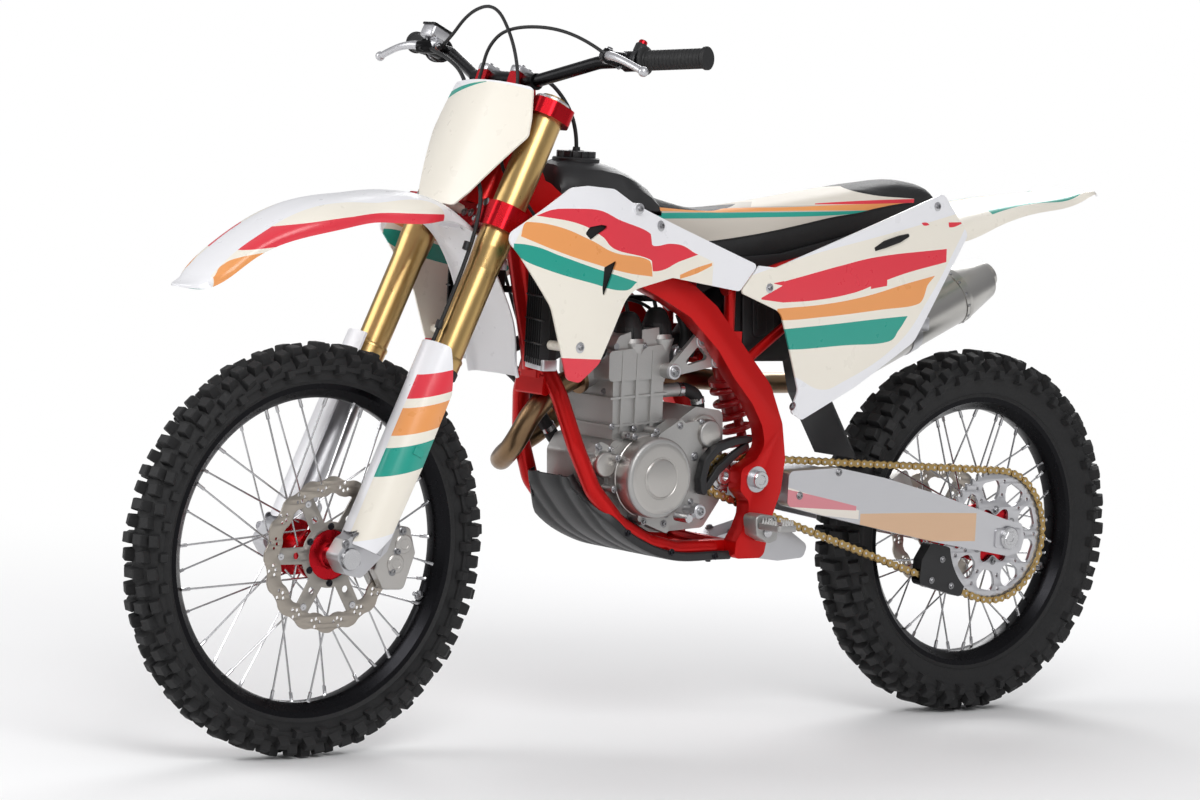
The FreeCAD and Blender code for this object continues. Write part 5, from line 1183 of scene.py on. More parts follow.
def near(node, place):
    """The point of a node's surface nearest to a place, and the outward normal there."""
    hit, normal, _, _ = surface_of(node).find_nearest(P(*place))
    spot = in_design(hit)
    if (Vector(place) - spot).dot(normal) < 0:
        normal = -normal
    return spot, normal


def pair(x, y, z):
    """A place on each side of the machine."""
    return [(x, y, z), (x, -y, z)]


def surface_bolts():
    """Bolts seated square on castings, clamps and brackets."""
    for body, name, groups in (
            ("steering", "clamp_and_foot_bolts", (
                ("fork_legs", 5.2, pair(1484, 126, 390) + pair(1456, 138, 376)
                 + pair(1476, 130, 342) + pair(1500, 130, 372)),
                ("fork_clamps", 5.0, [(1212, y, 915) for y in (-30, -12, 12, 30)]
                 + pair(1224, 96, 934) + pair(1221, 124, 930) + pair(1141, 124, 1102)
                 + pair(1143, 92, 1104)),
                ("front_caliper", 4.6, [(1452, 96, 330), (1400, 96, 372), (1382, 96, 420)]))),
            ("frame", "casting_bolts", (
                ("cylinder", 4.2, [(912, 76, 552), (868, 80, 548), (826, 80, 546), (905, 60, 690),
                                   (846, 80, 690), (788, 80, 690), (924, 20, 690), (924, -20, 690),
                                   (912, -76, 552), (868, -80, 548), (826, -80, 546),
                                   (868, -80, 690), (826, -80, 690), (918, 40, 610),
                                   (918, -40, 610)]),
                ("crankcase", 4.2, [(932, 36, 440), (930, 60, 424), (952, 90, 520),
                                    (908, 92, 540), (700, 84, 448), (690, 84, 500)]),
                ("steering_head", 4.4, [(1130, 30, 905), (1130, -30, 905)]),
                ("swingarm", 5.0, [(430, 130, 470), (520, 130, 430)]),
                ("linkage", 5.6, [(600, 60, 380), (600, -60, 380), (540, 60, 350),
                                  (540, -60, 350)]))),
    ):
        piece = Piece(name)
        for node, radius, spots in groups:
            for spot in spots:
                piece.bolt(*near(node, spot), radius)
        piece.done(body)


def fittings():
    """Panel bolts with their washers, and bolts on the frame, the swingarm and the guards."""
    piece = Piece("panel_bolts")
    for side, name in ((1, "left"), (-1, "right")):
        spots = [("shroud_" + name, 958, 934, 5.5), ("shroud_" + name, 900, 905, 5.5),
                 ("shroud_" + name, 1090, 700, 5.5), ("side_panel_" + name, 570, 590, 4.5),
                 ("side_panel_" + name, 230, 950, 5.0), ("side_panel_" + name, 636, 800, 5.0)]
        for node, x, z, radius in spots:
            spot, normal = seat_on(node, x, z, side)
            piece.lathe([(-0.6, 0.1), (-0.6, radius * 1.7), (0.7, radius * 1.7),
                         (1.3, radius * 1.4), (1.3, 0.1)], "alloy", 24, spot, normal)
            piece.bolt(spot + normal, normal, radius * 0.9, washer=False)
        piece.lathe([(0, 0.1), (0, 15.6), (3, 15.6), (4.5, 14), (4.5, 9), (3, 8), (3, 0.1)],
                    "steel", 32, (628, side * 141, 462), (0, side, 0))
        piece.lathe([(-9, 21), (-9, 24), (0.4, 23), (0.4, 15)], "alloy", 40,
                    (628, side * 132, 462), (0, side, 0))
        for x, z in ((800, 336), (900, 372), (700, 326)):
            spot, normal = seat_on("skid_plate", x, z, side)
            piece.bolt(spot, normal, 4.5, "dark_bolt")
        if side > 0:
            for x, z in ((136, 300), (110, 250), (160, 262)):
                piece.bolt((x, 96.7, z), LEFT, 4.4)
        block = soften([(-30, 322), (34, 322), (34, 358), (-30, 358)], 6)
        piece.flat(block, side * 124, side * 128, "alloy", [ring(REAR_AXLE, 13, 24)], 0.8)
        piece.bolt((0, side * 128, 340), (0, side, 0), 15, "steel", 6)
        piece.tube([(-52, side * 111, 340), (-34, side * 111, 340)], 4.0, "steel", 10)
        piece.lathe([(0, 4.2), (0, 7), (6, 7), (6, 4.2)], "steel", 6, (-42, side * 111, 340),
                    (1, 0, 0), smooth=False, closed=True)
    piece.done("frame")


drive()
engine_left()
engine_hoses()
engine_right()
fittings()
surface_bolts()


# Fork and controls

BAR_UP = 871.0            # handlebar middle along the steering axis
BAR_END = Vector((-17, 405, 963))
BAR_WAY = Vector((-52, 200, 42)).normalized()


def on_bar(side, back):
    """A point on the outer run of the handlebar, back from its end, and the way outward."""
    spot = BAR_END - BAR_WAY * back
    return (
        Vector((spot.x, side * spot.y, spot.z)), Vector((BAR_WAY.x, side * BAR_WAY.y, BAR_WAY.z)))


def fork_fittings():
    """Seals, caps, pinch bolts, axle ends and the handlebar mounts."""
    piece = Piece("fork_fittings", STEERED)
    for side in (1, -1):
        leg = (FORK_N, side * FORK_Y, 0)
        piece.lathe([(343, 24.4), (343, 28), (345, 30.2), (356, 30.6), (358, 29.2), (358, 24.4)],
                    "rubber", 48, leg, UP, closed=True)
        piece.lathe([(374, 28.8), (374, 30), (378, 30), (380, 28.6)], "gold", 48, leg, UP)
        piece.lathe([(847, 29.6), (849, 30), (851, 29.4), (852.6, 24), (852.6, 20.5), (855, 20),
                     (856.4, 18.8), (856.4, 13), (854, 12), (854, 0.1)], "alloy", 48, leg, UP)
        piece.bolt((FORK_N, side * FORK_Y, 854), UP, 9, "gold", 5, washer=False)
        for s in (617, 639, 829.5):
            piece.bolt((FORK_N + 27, side * 68, s), (0.72, -side * 0.7, 0), 5)
        end, start = (132, 126) if side > 0 else (129, 126)
        piece.lathe([(start, 0.1), (start, 18.5), (start + 1.4, 19), (end, 17.4), (end, 12.6),
                     (end - 1.6, 11.8), (end - 1.6, 7.5), (end - 4, 7), (end - 4, 0.1)],
                    "steel", 40, (55, 0, 0), (0, side, 0))
        piece.bolt((53, side * 45 + 8, BAR_UP + 17), UP, 4)
        for n in (-15, 15):
            for y in (-8, 8):
                piece.bolt((53 + n, side * 45 + y, BAR_UP + 18), UP, 3.6)
        piece.block((48, 28, 13), (53, side * 45, BAR_UP + 13), "alloy", 3.5)
        piece.block((30, 24, 22), (42, side * 45, BAR_UP - 16), "alloy", 4)
    piece.lathe([(852, 0.1), (852, 18), (860, 18), (862, 16), (862, 9)], "steel", 6,
                (0, 0, 0), UP, smooth=False)
    for n, y, s in ((62, 110, 300), (60, 108, 420), (68, 104, 560)):
        piece.lathe([(-7, 4), (-7, 6.4), (7, 6.4), (7, 4)], "black_plastic", 16, (n, y, s),
                    (0.1, 0, 1), closed=True)
    for k in range(3):
        piece.bolt((-58 + 6 * k, 91.6, 20 + 34 * k), LEFT, 5.2)
    for s in (34, 70):
        piece.lathe([(89, 0.1), (89, 16.5), (93, 16.5), (94.6, 14.5), (94.6, 9), (93.6, 8),
                     (93.6, 0.1)], "cover", 32, (-58, 0, s))
    piece.done("steering")


def grips():
    """Ribbed rubber grips with their flanges."""
    piece = Piece("ribbed_grips", STEERED)
    profile = [(0, 11.4), (0, 23.6), (3.6, 23.8), (5, 22.4), (6.5, 17.4)]
    for k in range(15):
        a = 8.5 + 7.3 * k
        profile += [(a, 15.9), (a + 1.1, 17), (a + 5.2, 17), (a + 6.3, 15.9)]
    profile += [(118, 17), (119, 19.4), (123.5, 19.6), (125, 18), (125, 0.1)]
    for side in (1, -1):
        spot, way = on_bar(side, 122)
        piece.lathe(profile, "rubber", 48, spot, way)
    piece.done("steering", "grips", "rubber_black")


def levers():
    """Clutch and brake levers on their perches, the right one with its fluid reservoir, the
    throttle's housing and the button on the left."""
    piece = Piece("lever_assemblies", STEERED)
    for side in (1, -1):
        spot, way = on_bar(side, 160)
        n, y, s = spot

        def at(ahead, out, up):
            return Vector((n + ahead, y + side * out, s + up))

        piece.lathe([(0, 11.2), (0, 16), (1.5, 17.6), (20, 17.6), (22, 16), (22, 11.2)],
                    "black_metal", 36, spot, way, closed=True)
        piece.tube([at(6, 6, -2), at(20, 4, -6), at(36, 2, -10), at(45, 0, -12)], [15, 13, 11, 10],
                   "black_metal", 16)
        pivot = at(41, 3, -21)
        piece.lathe([(0, 0.1), (0, 8.6), (2, 9.4), (19, 9.4), (21, 8.6), (21, 0.1)], "black_metal",
                    24, pivot, UP)
        piece.bolt(pivot + Vector((0, 0, 21)), UP, 5.4)
        piece.tube([at(12, -20, -2), at(24, -16, -5), at(38, -2, -10), at(44, 14, -14)],
                   [8, 11, 12.5, 11], "black_metal", 16)
        blade = [
            at(41, 4, -11), at(50, 26, -14), at(52, 56, -20), at(48, 88, -28), at(43, 116, -36)]
        line = smooth_line(blade, 6)
        last = len(line) - 1
        piece.tube(line, [8.4 - 2.4 * min(k / (last * 0.6), 1) for k in range(last + 1)], "alloy", 14)
        ball = [(-8.6 * math.cos(math.pi * k / 12), max(8.6 * math.sin(math.pi * k / 12), 0.1))
                for k in range(13)]
        piece.lathe(ball, "alloy", 20, line[-1], (-0.04, side * 0.97, -0.24))
        for up in (5, -17):
            piece.bolt(at(14, 11, up), (1, 0, 0.2), 3.6)
        if side > 0:
            piece.lathe([(-16, 3.2), (-16, 5), (-9, 5.2), (-8, 7), (6, 7), (7, 5), (18, 5),
                         (20, 3.2)], "alloy", 20, at(26, -8, -7), (0.28, -0.9, 0.3), closed=True)
            continue
        piece.block((42, 36, 25), at(31, 0, 17), "alloy", 6, steps=3)
        piece.block((44, 38, 5), at(31, 0, 29), "black_metal", 2)
        for dn in (-13, 13):
            piece.bolt(at(31 + dn, 0, 31.4), UP, 3.2, washer=False)
        piece.lathe(
            [(-20, 0.1), (-20, 10), (14, 11), (20, 9), (20, 0.1)], "alloy", 24, at(31, -4, -2))
        piece.lathe([(-4, 0.1), (-4, 8), (4, 8), (5, 5.5), (9, 5.5), (9, 0.1)], "steel", 6,
                    at(33, -24, -6), (0, 0.9, -0.3), smooth=False)
        housing, outward = on_bar(side, 146)
        piece.lathe([(0, 11.2), (0, 18), (2, 21.5), (20, 22), (22, 19), (22, 11.2)],
                    "black_plastic", 36, housing, outward, closed=True)
        piece.tube([housing + Vector((4, 0, 6)), housing + Vector((14, 12, 8)),
                    housing + Vector((22, 26, 6))], [9, 7.5, 5], "black_plastic", 14)
    button, way = on_bar(1, 132)
    piece.lathe([(-6, 11.2), (-6, 16), (-4, 17.5), (6, 17.5), (8, 16), (8, 11.2)],
                "black_plastic", 32, button - way * 8, way, closed=True)
    post = button + Vector((0, -10, 14))
    piece.lathe([(0, 11), (14, 10.5), (16, 9), (16, 0.1)], "black_plastic", 24, post, UP)
    piece.lathe([(15, 7.6), (21, 7.4), (23, 5.8), (23.6, 0.1)], "red", 24, post, UP)
    piece.done("steering", "lever_sets", "alloy")


def route(name, points, radius, node, body=None):
    """A held cable: one smooth NURBS line along its route, as a mesh."""
    curve = bpy.data.curves.new(name, "CURVE")
    curve.dimensions = "3D"
    curve.bevel_depth = radius / 1000
    curve.bevel_resolution = 4
    curve.resolution_u = 10
    curve.use_fill_caps = True
    spline = curve.splines.new("NURBS")
    spline.points.add(len(points) - 1)
    for point, spot in zip(spline.points, points):
        point.co = (*spot, 1)
    spline.order_u = 3
    spline.use_endpoint_u = True
    holder = bpy.data.objects.new(name, curve)
    mesh = bpy.data.meshes.new_from_object(holder)
    bpy.data.objects.remove(holder)
    cover(mesh, "rubber")
    obj = link_object(name, mesh)
    enter(obj, body, node)
    return obj


def cables():
    """The brake hose, and the cables that run between the handlebar and the frame."""
    route("front_brake_hose", [S(*p) for p in (
        (56, -250, 921), (72, -206, 908), (76, -160, 896), (72, -112, 876), (66, -78, 844),
        (68, -62, 796), (72, -30, 742), (74, 24, 704), (71, 76, 672), (66, 102, 618),
        (58, 107, 520), (58, 107, 330), (56, 100, 240), (34, 76, 176), (-8, 70, 150),
        (-38, 72, 124), (-43, 74, 90))], 3.5, "brake_hose", "steering")
    bend = (S(-90, 0, 665), S(60, 0, 735))
    for name, radius, (still, turning), upper, lower in (
            ("clutch_cable", 3, bend,
             [(48, 246.6, 924), (64, 200, 944), (92, 120, 956), (106, 20, 944), (98, -24, 912),
              (81, -36, 866), (72, -38, 800), (50, -44, 730), (-10, -60, 696), (-90, -76, 660)],
             [(1036, -88, 790), (968, -100, 650), (900, -104, 560), (858, -99, 508)]),
            ("throttle_cable", 3, bend,
             [(40, -246.6, 928), (62, -196, 932), (96, -120, 976), (114, -30, 984), (106, 40, 930),
              (82, 68, 872), (70, 68, 836), (64, 66, 776), (40, 62, 716), (-20, 64, 696),
              (-84, 72, 664)],
             [(1012, 66, 800), (900, 36, 776), (800, 8, 762), (746, 4, 720), (742, 2, 700)]),
            ("vent_hose", 3.5, (P(985, 5, 1085), S(0, 0, 890)), [(0, 0, 845), (0, 0, 902)],
             [(1036, 5, 1140), (994, 6, 1100), (970, 2, 1052), (968, 0, 1022)])):
        points = [S(*p) for p in upper] + [P(*p) for p in lower]
        cable = route(name, points, radius, "control_cables")
        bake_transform(cable)


fork_fittings()
grips()
levers()
cables()


# Seat, foot controls, tank, panels and silencer

# each row: X, the top's height, the base's height and the half width
SEAT = [(884, 976, 905, 44), (800, 946, 872, 62), (700, 930, 830, 72), (560, 944, 843.6, 82),
        (420, 966, 875.6, 84), (306, 983, 897.6, 80), (200, 992, 934, 72), (152, 966, 942, 60)]


def seat_form(shrink):
    """The seat as rings of points: a crowned top, sides that pull in, and a flat base."""
    piece = Piece("seat_form")
    rings = smooth_line([(x, top, low) for x, top, low, half in SEAT], 7)
    halves = smooth_line([(x, half, 0) for x, top, low, half in SEAT], 7)
    sections = []
    for (x, top, low), (_, half, _) in zip(rings, halves):
        top, low, half = top - shrink, low + shrink * 0.4, half - shrink
        x = min(max(x, SEAT[-1][0] + shrink), SEAT[0][0] - shrink)
        tall = top - low
        shape = [
            (0.0, top), (half * 0.45, top - 1.5), (half * 0.72, top - 5), (half * 0.88, top - 11),
            (half * 0.955, top - 20), (half * 0.985, top - tall * 0.34), (half, top - tall * 0.6),
            (half * 0.99, low + tall * 0.16), (half * 0.95, low + 2), (half * 0.7, low), (0.0, low)]
        shape += [(-y, z) for y, z in reversed(shape[1:-1])]
        sections.append([(x, y, z) for y, z in shape])
    piece.loft(sections, "seat")
    bmesh.ops.recalc_face_normals(piece.bm, faces=piece.bm.faces)
    mesh = bpy.data.meshes.new("seat_form")
    piece.bm.to_mesh(mesh)
    piece.bm.free()
    return mesh


def evaluated(obj):
    graph = bpy.context.evaluated_depsgraph_get()
    return bpy.data.meshes.new_from_object(obj.evaluated_get(graph))


def swollen(mesh, cap, voxel=0.006):
    """The mesh as a stuffed cover: remeshed, blown up by cloth, no point moving past the cap."""
    holder = link_object("cloth", mesh)
    remesh = holder.modifiers.new("voxels", "REMESH")
    remesh.mode = "VOXEL"
    remesh.voxel_size = voxel
    base = evaluated(holder)
    holder.modifiers.clear()
    holder.data = base
    cloth = holder.modifiers.new("cloth", "CLOTH")
    cloth.settings.use_pressure = True
    cloth.settings.uniform_pressure_force = 4
    cloth.settings.effector_weights.gravity = 0
    cloth.settings.quality = 4
    cloth.point_cache.frame_start, cloth.point_cache.frame_end = 1, 20
    for step in range(1, 21):
        bpy.context.scene.frame_set(step)
    blown = evaluated(holder)
    for old, new in zip(base.vertices, blown.vertices):
        move = new.co - old.co
        if move.length > cap:
            move *= cap / move.length
        old.co += move
    holder.modifiers.clear()
    bpy.context.scene.frame_set(1)
    smooth = holder.modifiers.new("smooth", "SMOOTH")
    smooth.iterations = 6
    smooth.factor = 0.5
    finer = holder.modifiers.new("finer", "SUBSURF")
    finer.levels = 1
    done = evaluated(holder)
    bpy.data.objects.remove(holder)
    return done


def seat():
    """The long seat, a padded cover over foam, and the raised seam along its sides."""
    mesh = swollen(seat_form(4.0), 0.005)
    cover(mesh, "seat")
    cushion = link_object("seat_cushion", mesh)
    enter(cushion, "frame", "seat")
    tree = surface_tree(mesh)
    seam = Piece("seat_seams")
    below = 3.6               # the seam under the border of the print
    border = [(190, 950), (250, 955)] + SEAT_BORDER + [(830, 892)]
    for side in (1, -1):
        line = []
        for x, _, z in smooth_line([(x, 0, z - below) for x, z in border], 8):
            hit = tree.ray_cast(P(x, side * 300, z), Vector((0, -side, 0)))[0]
            if hit:
                line.append(Vector((x, hit.y * 1000 + side * 0.1, z)))
        seam.tube(line, 1.5, "rubber", 8)
    seam.done("frame")


def foot_controls():
    """Toothed pegs on their brackets, the brake pedal and the gear lever."""
    piece = Piece("foot_pegs_and_levers")
    for side in (1, -1):
        low, high = sorted((side * 164, side * 221))
        outer = soften([(601, low + 1), (651, low + 1), (647, high), (605, high)], 7)
        middle = (low + high) / 2
        windows = [soften([(610, a), (642, a), (641, b), (611, b)], 5)
                   for a, b in ((low + 8, middle - 4), (middle + 4, high - 7))]
        piece.flat(outer, 379, 390, "cast", windows, 1.2, plane="xy")
        for a, b in zip(outer, outer[1:] + outer[:1]):
            a, b = Vector((*a, 389)), Vector((*b, 389))
            teeth = max(1, int((b - a).length / 6.5)) if (b - a).length > 5 else 0
            for k in range(teeth):
                spot = a.lerp(b, (k + 0.5) / teeth)
                spot += (Vector((626, side * 192, 389)) - spot).normalized() * 3
                piece.lathe([(0, 3.4), (9, 1.0), (9, 0.1)], "cast", 4, spot, UP, smooth=False)
        piece.block((5, high - low - 6, 9), (626, middle, 385), "cast", 1)
        bracket = soften(
            [(600, 358), (618, 352), (648, 366), (654, 400), (640, 404), (604, 400)], 8)
        piece.flat(bracket, side * 128, side * 165, "cast", bevel=3)
        piece.lathe([(0, 0.1), (0, 9), (3, 9), (4, 7), (4, 0.1)], "steel", 24,
                    (626, side * 165, 372), (0, side, 0))
        piece.bolt((616, side * 165, 391), (0, side, 0), 5)
    piece.lathe([(92.5, 7.6), (116, 7.6), (117, 13), (131, 13), (133, 11), (133, 0.1)], "alloy", 28,
                (754, 0, 408))
    piece.tube(smooth_line([(754, 123, 408), (768, 127, 400), (786, 133, 397), (812, 146, 402)]),
               6.4, "alloy", 14)
    piece.lathe([(136, 0.1), (136, 6), (138, 8), (172, 8), (174, 6.5), (174, 0.1)], "steel",
                24, (812, 0, 402))
    piece.bolt((754, 133, 408), LEFT, 5)
    piece.lathe([(126.5, 0.1), (126.5, 11), (149, 11), (151, 9), (151, 0.1)], "alloy", 28,
                (638, 0, 341), RIGHT)
    piece.tube(
        smooth_line([(638, -144, 341), (690, -147, 343), (760, -149, 356), (812, -150, 378)]),
        [7 - 0.06 * k for k in range(25)], "alloy", 14)
    piece.flat(soften([(798, -172), (826, -172), (826, -138), (798, -138)], 5), 372, 388, "alloy",
               bevel=2, plane="xy")
    piece.done("frame", "foot_controls", "alloy")


def radiator_tanks():
    """Alloy end tanks on the radiators, and the blocks that hold the louvres."""
    piece = Piece("radiator_tanks")
    for side in (1, -1):
        plan = [(1061.2, side * 51.4), (1094.6, side * 51.4), (1128.6, side * 142.4),
                (1095.6, side * 142.4)]
        for low, high in ((655.4, 674.6), (811.4, 830.2)):
            piece.flat(soften(plan, 5), low, high, "alloy", bevel=1.6, plane="xy")
        for k in range(5):
            share = (k + 0.5) / 5
            x, y = 1096 + 34 * share, side * (52 + 90 * share)
            for z in (700, 740, 780):
                piece.block((5, 13, 3), (x, y, z), "black_plastic", 0.8)
    piece.done("frame")


def silencer():
    """Bands with rivets, the end cap and the strap of the silencer."""
    piece = Piece("silencer_trim")
    a = Vector((296, -150, 604))
    way = (Vector((-150, -150, 802)) - a).normalized()
    piece.lathe([(404, 55.8), (412, 56), (413, 54.8), (488, 41), (490.5, 39), (490.5, 24.5),
                 (509, 24.5), (510, 23.5), (510, 20.6), (470, 20.4)], "muffler", 72, a, way)
    piece.lathe([(-6, 21.5), (-6, 24), (8, 25.5), (10, 24.5)], "steel", 40, a, way, closed=True)
    side = way.cross(Vector((0, 1, 0))).normalized()
    for reach in (68, 400):
        for turn in turns(14):
            out = side * math.cos(turn) + Vector((0, 1, 0)) * math.sin(turn)
            piece.lathe([(0, 3.2), (0.8, 3), (1.5, 1.8), (1.6, 0.1)], "bolt", 12,
                        a + way * reach + out * 55.3, out)
    piece.lathe([(250, 54.2), (250, 55.8), (274, 55.8), (274, 54.2)], "alloy", 72, a, way, closed=True)
    piece.block((22, 30, 26), a + way * 262 + Vector((0, 62, 10)), "alloy", 3)
    piece.bolt(a + way * 262 + Vector((0, 62, 22)), UP, 5)
    piece.done("frame")


def tank():
    """The fuel tank, which falls from its cap to the nose of the seat."""
    piece = Piece("moulded_fuel_tank")
    sections = []
    for x, top, half in (
            (1044, 966, 54), (1040, 986, 57), (1030, 1000, 58), (1000, 1009, 64), (960, 1009, 76),
            (925, 1003, 88), (900, 992, 98), (880, 980, 106), (868, 966, 112), (864, 950, 114)):
        ridge = half * 0.62
        section = [(x, 0, top), (x, ridge * 0.6, top - 1.5), (x, ridge, top - 6),
                   (x, ridge + (half - ridge) * 0.6, top - 16), (x, half, min(top - 30, 962)),
                   (x, half, 928), (x, half - 5, 925), (x, 0, 925)]
        sections.append(section + [(x, -y, z) for _, y, z in reversed(section[1:-1])])
    piece.loft(sections, "black_plastic")
    sections = []
    for z, x0, x1, half in ((806, 812, 950, 40), (900, 840, 985, 42), (930, 850, 996, 50)):
        corners = [(x0, -half), (x1, -half), (x1, half), (x0, half)]
        sections.append([(x, y, z) for x, y in soften(corners, 16)])
    piece.loft(sections, "black_plastic")
    piece.lathe(
        [(1004, 41), (1010, 41), (1012, 39), (1012, 33)], "black_plastic", 64, (968, 0, 0), UP)
    cap = []
    for a in turns(14):
        cap += [polar((968, 0), r, a + da) for r, da in ((34, -0.14), (34, 0.14), (31.6, 0.2),
                                                         (31.6, 0.25))]
    piece.flat(cap, 1009, 1023, "black_plastic", bevel=1.2, plane="xy")
    piece.lathe(
        [(1022, 14), (1024, 13), (1024, 7), (1030, 6), (1030, 3.6)], "rubber", 24, (968, 0, 0), UP)
    piece.done("frame", "fuel_tank", "plastic_black")


def skid_plate():
    """The guard under the engine: a ribbed sheet that curls up at its front, with low lips."""
    piece = Piece("ribbed_skid_plate")
    line = smooth_line([(664, 0, 338), (700, 0, 338), (775, 0, 338), (838, 0, 352),
                        (905, 0, 386), (962, 0, 446), (976, 0, 472)], 6)

    def whole(half_section):
        return [Vector((p.x, -p.y, p.z)) for p in reversed(half_section[1:])] + half_section

    sections = []
    for k, spot in enumerate(line):
        way = (line[min(k + 1, len(line) - 1)] - line[max(k - 1, 0)]).normalized()
        out = Vector((way.z, 0, -way.x))
        half = 115 if spot.x < 918 else 115 - (spot.x - 918)
        rib = [(0, 0), (24, 0), (28, -2.4), (36, -2.4), (40, 0), (64, 0), (68, -2.4), (76, -2.4),
               (80, 0), (half - 5, 0), (half - 1.5, -1.2), (half, -4.5), (half, -13)]
        count = len(rib)
        rib = [(y, lift) for y, lift in rib if y <= half]
        rib += [(half, -13)] * (count - len(rib))
        face = [spot + out * (19.2 + lift) + Vector((0, y, 0)) for y, lift in rib]
        back = [spot + out * (16.2 + lift) + Vector((0, max(y - (3 if y > half - 4 else 0), 0), 0))
                for y, lift in rib]
        sections.append(whole(face) + whole(back)[::-1])
    piece.loft(sections, "black_plastic")
    for side in (1, -1):
        for x, z in ((700, 318.4), (800, 329.6)):
            piece.bolt((x, side * 96, z), (0, 0, -1), 5, "dark_bolt")
    piece.done("frame", "skid_plate", "plastic_black")


def airbox_panel():
    """The moulded window of the airbox, its ribs, the seat's dark base above the panels, and
    near-black strips along the slots in the panels' upper edges, painted shade for the openings."""
    piece = Piece("airbox_mouldings")
    piece.flat(soften([(548, 690), (622, 680), (630, 792), (560, 806)], 18), 58, 66, "black_plastic",
               bevel=2.4)
    piece.flat(soften([(570, 712), (602, 706), (608, 776), (577, 782)], 10), 64, 69, "black_plastic",
               bevel=1.6)
    piece.flat(
        soften([(580, 724), (594, 721), (599, 764), (586, 768)], 5), 67, 70.4, "rubber", bevel=1)
    for k in range(4):
        piece.tube([(536 - 24 * k, 59, 700 + 12 * k), (528 - 24 * k, 59, 812 + 7 * k)], 3.4,
                   "black_plastic", 8)
    for side in (1, -1):
        strip = [(x, z + 8) for x, z in ((800, 878), (700, 838), (560, 849), (420, 880),
                                         (306, 902), (236, 921))]
        strip += [(236, 908), (306, 884), (440, 850), (622, 806), (700, 800), (800, 840)]
        piece.flat(strip, side * 74, side * 83, "black_plastic", bevel=0.8)
    # the slots are near-black tubes laid on the panels: painted shade for their openings
    slot_line = [(304, 897), (327, 890), (363, 880), (386, 871)]
    for side, node in ((1, "side_panel_left"), (-1, "side_panel_right")):
        piece.tube([seat_on(node, x, z, side)[0] for x, z in slot_line], [3.4, 6.6, 6.8, 3.2],
                   "inside", 12)
    piece.done("frame")


def fender_lip():
    """The rounded front end of the fender, past the straight end of its sheet."""
    piece = Piece("front_fender_lip")
    half, thick, reach, count = 46.0, 3.2, 28.0, 20
    spot, past, sections = Vector((1742, 0, 796)), 0, []
    # each row: the way along from the sheet's straight end, and the slope there in degrees
    for step, slope in ((-9, 41), (0, 40), (6, 34), (12, 27), (17, 21), (21, 17), (24, 14),
                        (26.3, 12), (27.6, 11)):
        turn = math.radians(slope)
        spot = spot + Vector((math.cos(turn), 0, -math.sin(turn))) * (step - past)
        past = step
        down = Vector((-math.sin(turn), 0, -math.cos(turn)))
        wide = half - 0.29 * step if step < 0 else half * math.sqrt(1 - (step / reach) ** 2)
        drop = 16.0 * (1 - 0.8 * max(step, 0) / reach)
        top, under = [], []
        for k in range(count + 1):
            share = 2 * k / count - 1
            fall = 0.35 * abs(share) ** 3 + 0.65 * abs(share) ** 18
            top.append(spot + Vector((0, (wide + 0.4) * share, 0)) + down * (drop * fall - 0.4))
            under.append(spot + Vector((0, max(wide - thick, 1.0) * share, 0))
                         + down * (drop * fall + thick * (1 - 0.9 * fall) + 0.4))
        sections.append(top + under[::-1])
    piece.loft(sections, "front_fender")
    piece.done("steering")


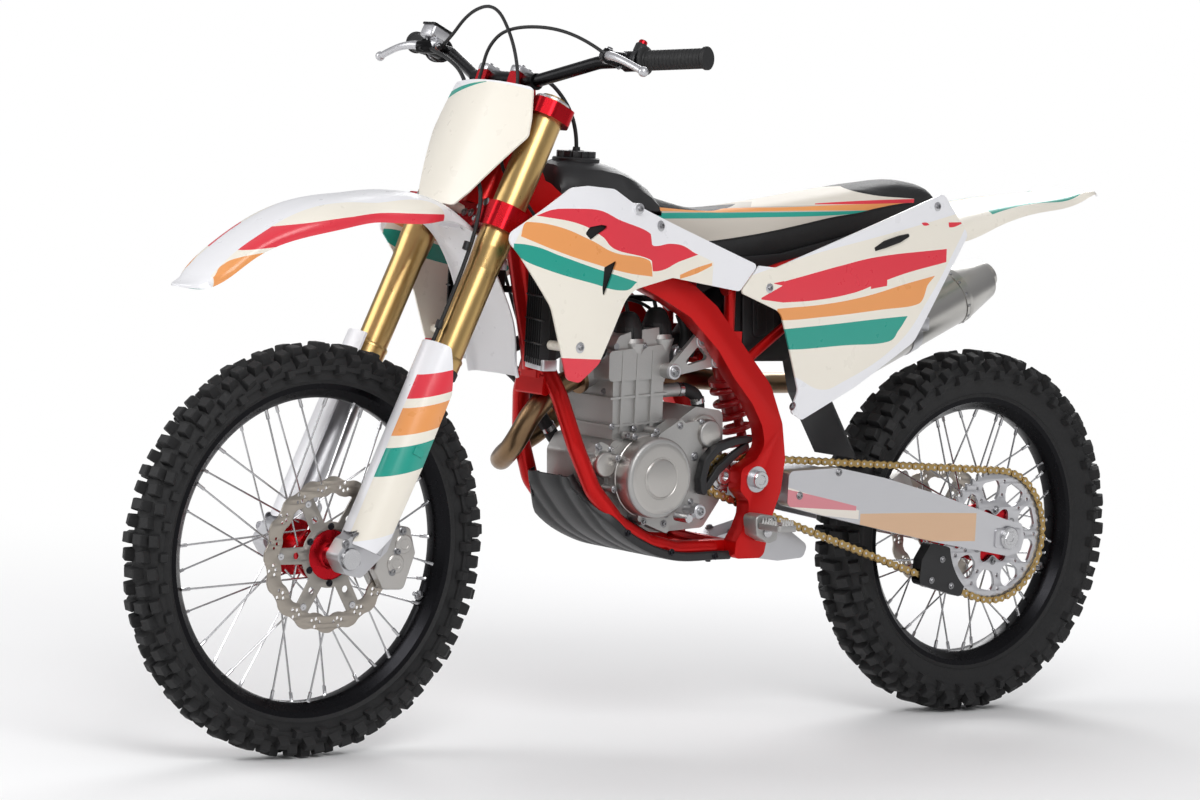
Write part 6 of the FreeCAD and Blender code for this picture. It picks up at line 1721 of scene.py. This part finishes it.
def shroud_vents():
    """Near-black sheets set just inside the vents of the shrouds: painted shade for the dark seen
    through the vents.
    """
    piece = Piece("shroud_vent_shade")
    vents = [[(1088, 891), (1077, 902), (1050, 906), (1030, 904), (1058, 890), (1075, 880)],
             [(1044, 835), (1012, 848), (1023, 825), (1044, 781), (1047, 800)]]
    for side, node in ((1, "shroud_left"), (-1, "shroud_right")):
        for outline in vents:
            mid = Vector((sum(p[0] for p in outline), sum(p[1] for p in outline))) / len(outline)
            wider = [mid + (Vector(p) - mid) * 1.5 for p in outline]
            rim = [seat_on(node, spot.x, spot.y, side, inside=4.5)[0] for spot in wider]
            back = [spot - Vector((0, side * 1.5, 0)) for spot in rim]
            # a near-black sheet behind each vent: painted shade seen through it
            piece.loft([rim, back], "inside")
    piece.done("frame")


def eased(name, body, node, mat, width, slot):
    """A CAD node's own form with rounded edges."""
    piece = Piece(name, Matrix.Identity(4))
    sub = bmesh.new()
    sub.from_mesh(frame["nodes"][node].data)
    bmesh.ops.remove_doubles(sub, verts=sub.verts, dist=0.00002)
    bmesh.ops.dissolve_limit(
        sub, angle_limit=math.radians(3), verts=sub.verts[:], edges=sub.edges[:])
    edges = [
        e for e in sub.edges if len(e.link_faces) == 2 and e.calc_face_angle(0) > math.radians(32)]
    bmesh.ops.bevel(sub, geom=edges, offset=width / 1000, segments=3, profile=0.5, affect="EDGES",
                    clamp_overlap=True)
    piece.take(sub, mat)
    piece.done(body, node, slot, split=40)


eased("welded_side_beams", "frame", "frame_spars", "frame_red", 4.0, "frame_red")
eased("fork_caliper", "steering", "front_caliper", "cover", 3.0, "alloy")
eased("rear_brake_caliper", "frame", "rear_caliper", "cover", 2.0, "alloy")
tank()
skid_plate()
airbox_panel()
fender_lip()
shroud_vents()
seat()
foot_controls()
radiator_tanks()
silencer()


# Carried-over nodes

# the CAD nodes that no piece stands for, by their finish
FINISHES = {
    "alloy": ("fork_legs", "linkage"), "steel": ("front_axle", "rear_axle"),
    "gold": ("fork_outers",), "red": ("fork_clamps",), "black_metal": ("handlebar",),
    "frame_red": ("steering_head", "cradle", "subframe"), "cast": ("crankcase", "cylinder"),
    "black_plastic": ("throttle_body", "chain_guide", "airbox"), "core": ("radiators",),
    "pipe": ("exhaust_header",), "muffler": ("silencer",), "spring": ("shock_absorber",),
    "arm": ("swingarm",), "guard": ("fork_guards",), "plate": ("number_plate",),
    "shroud": ("shroud_left", "shroud_right"),
    "side_panel": ("side_panel_left", "side_panel_right"),
    "front_fender": ("front_fender",), "rear_fender": ("rear_fender",),
}
for mat_name, nodes in FINISHES.items():
    for node_name in nodes:
        materials = frame["nodes"][node_name].data.materials
        materials.clear()
        materials.append(MAT[mat_name])


bpy.context.scene.view_settings.view_transform = "Standard"
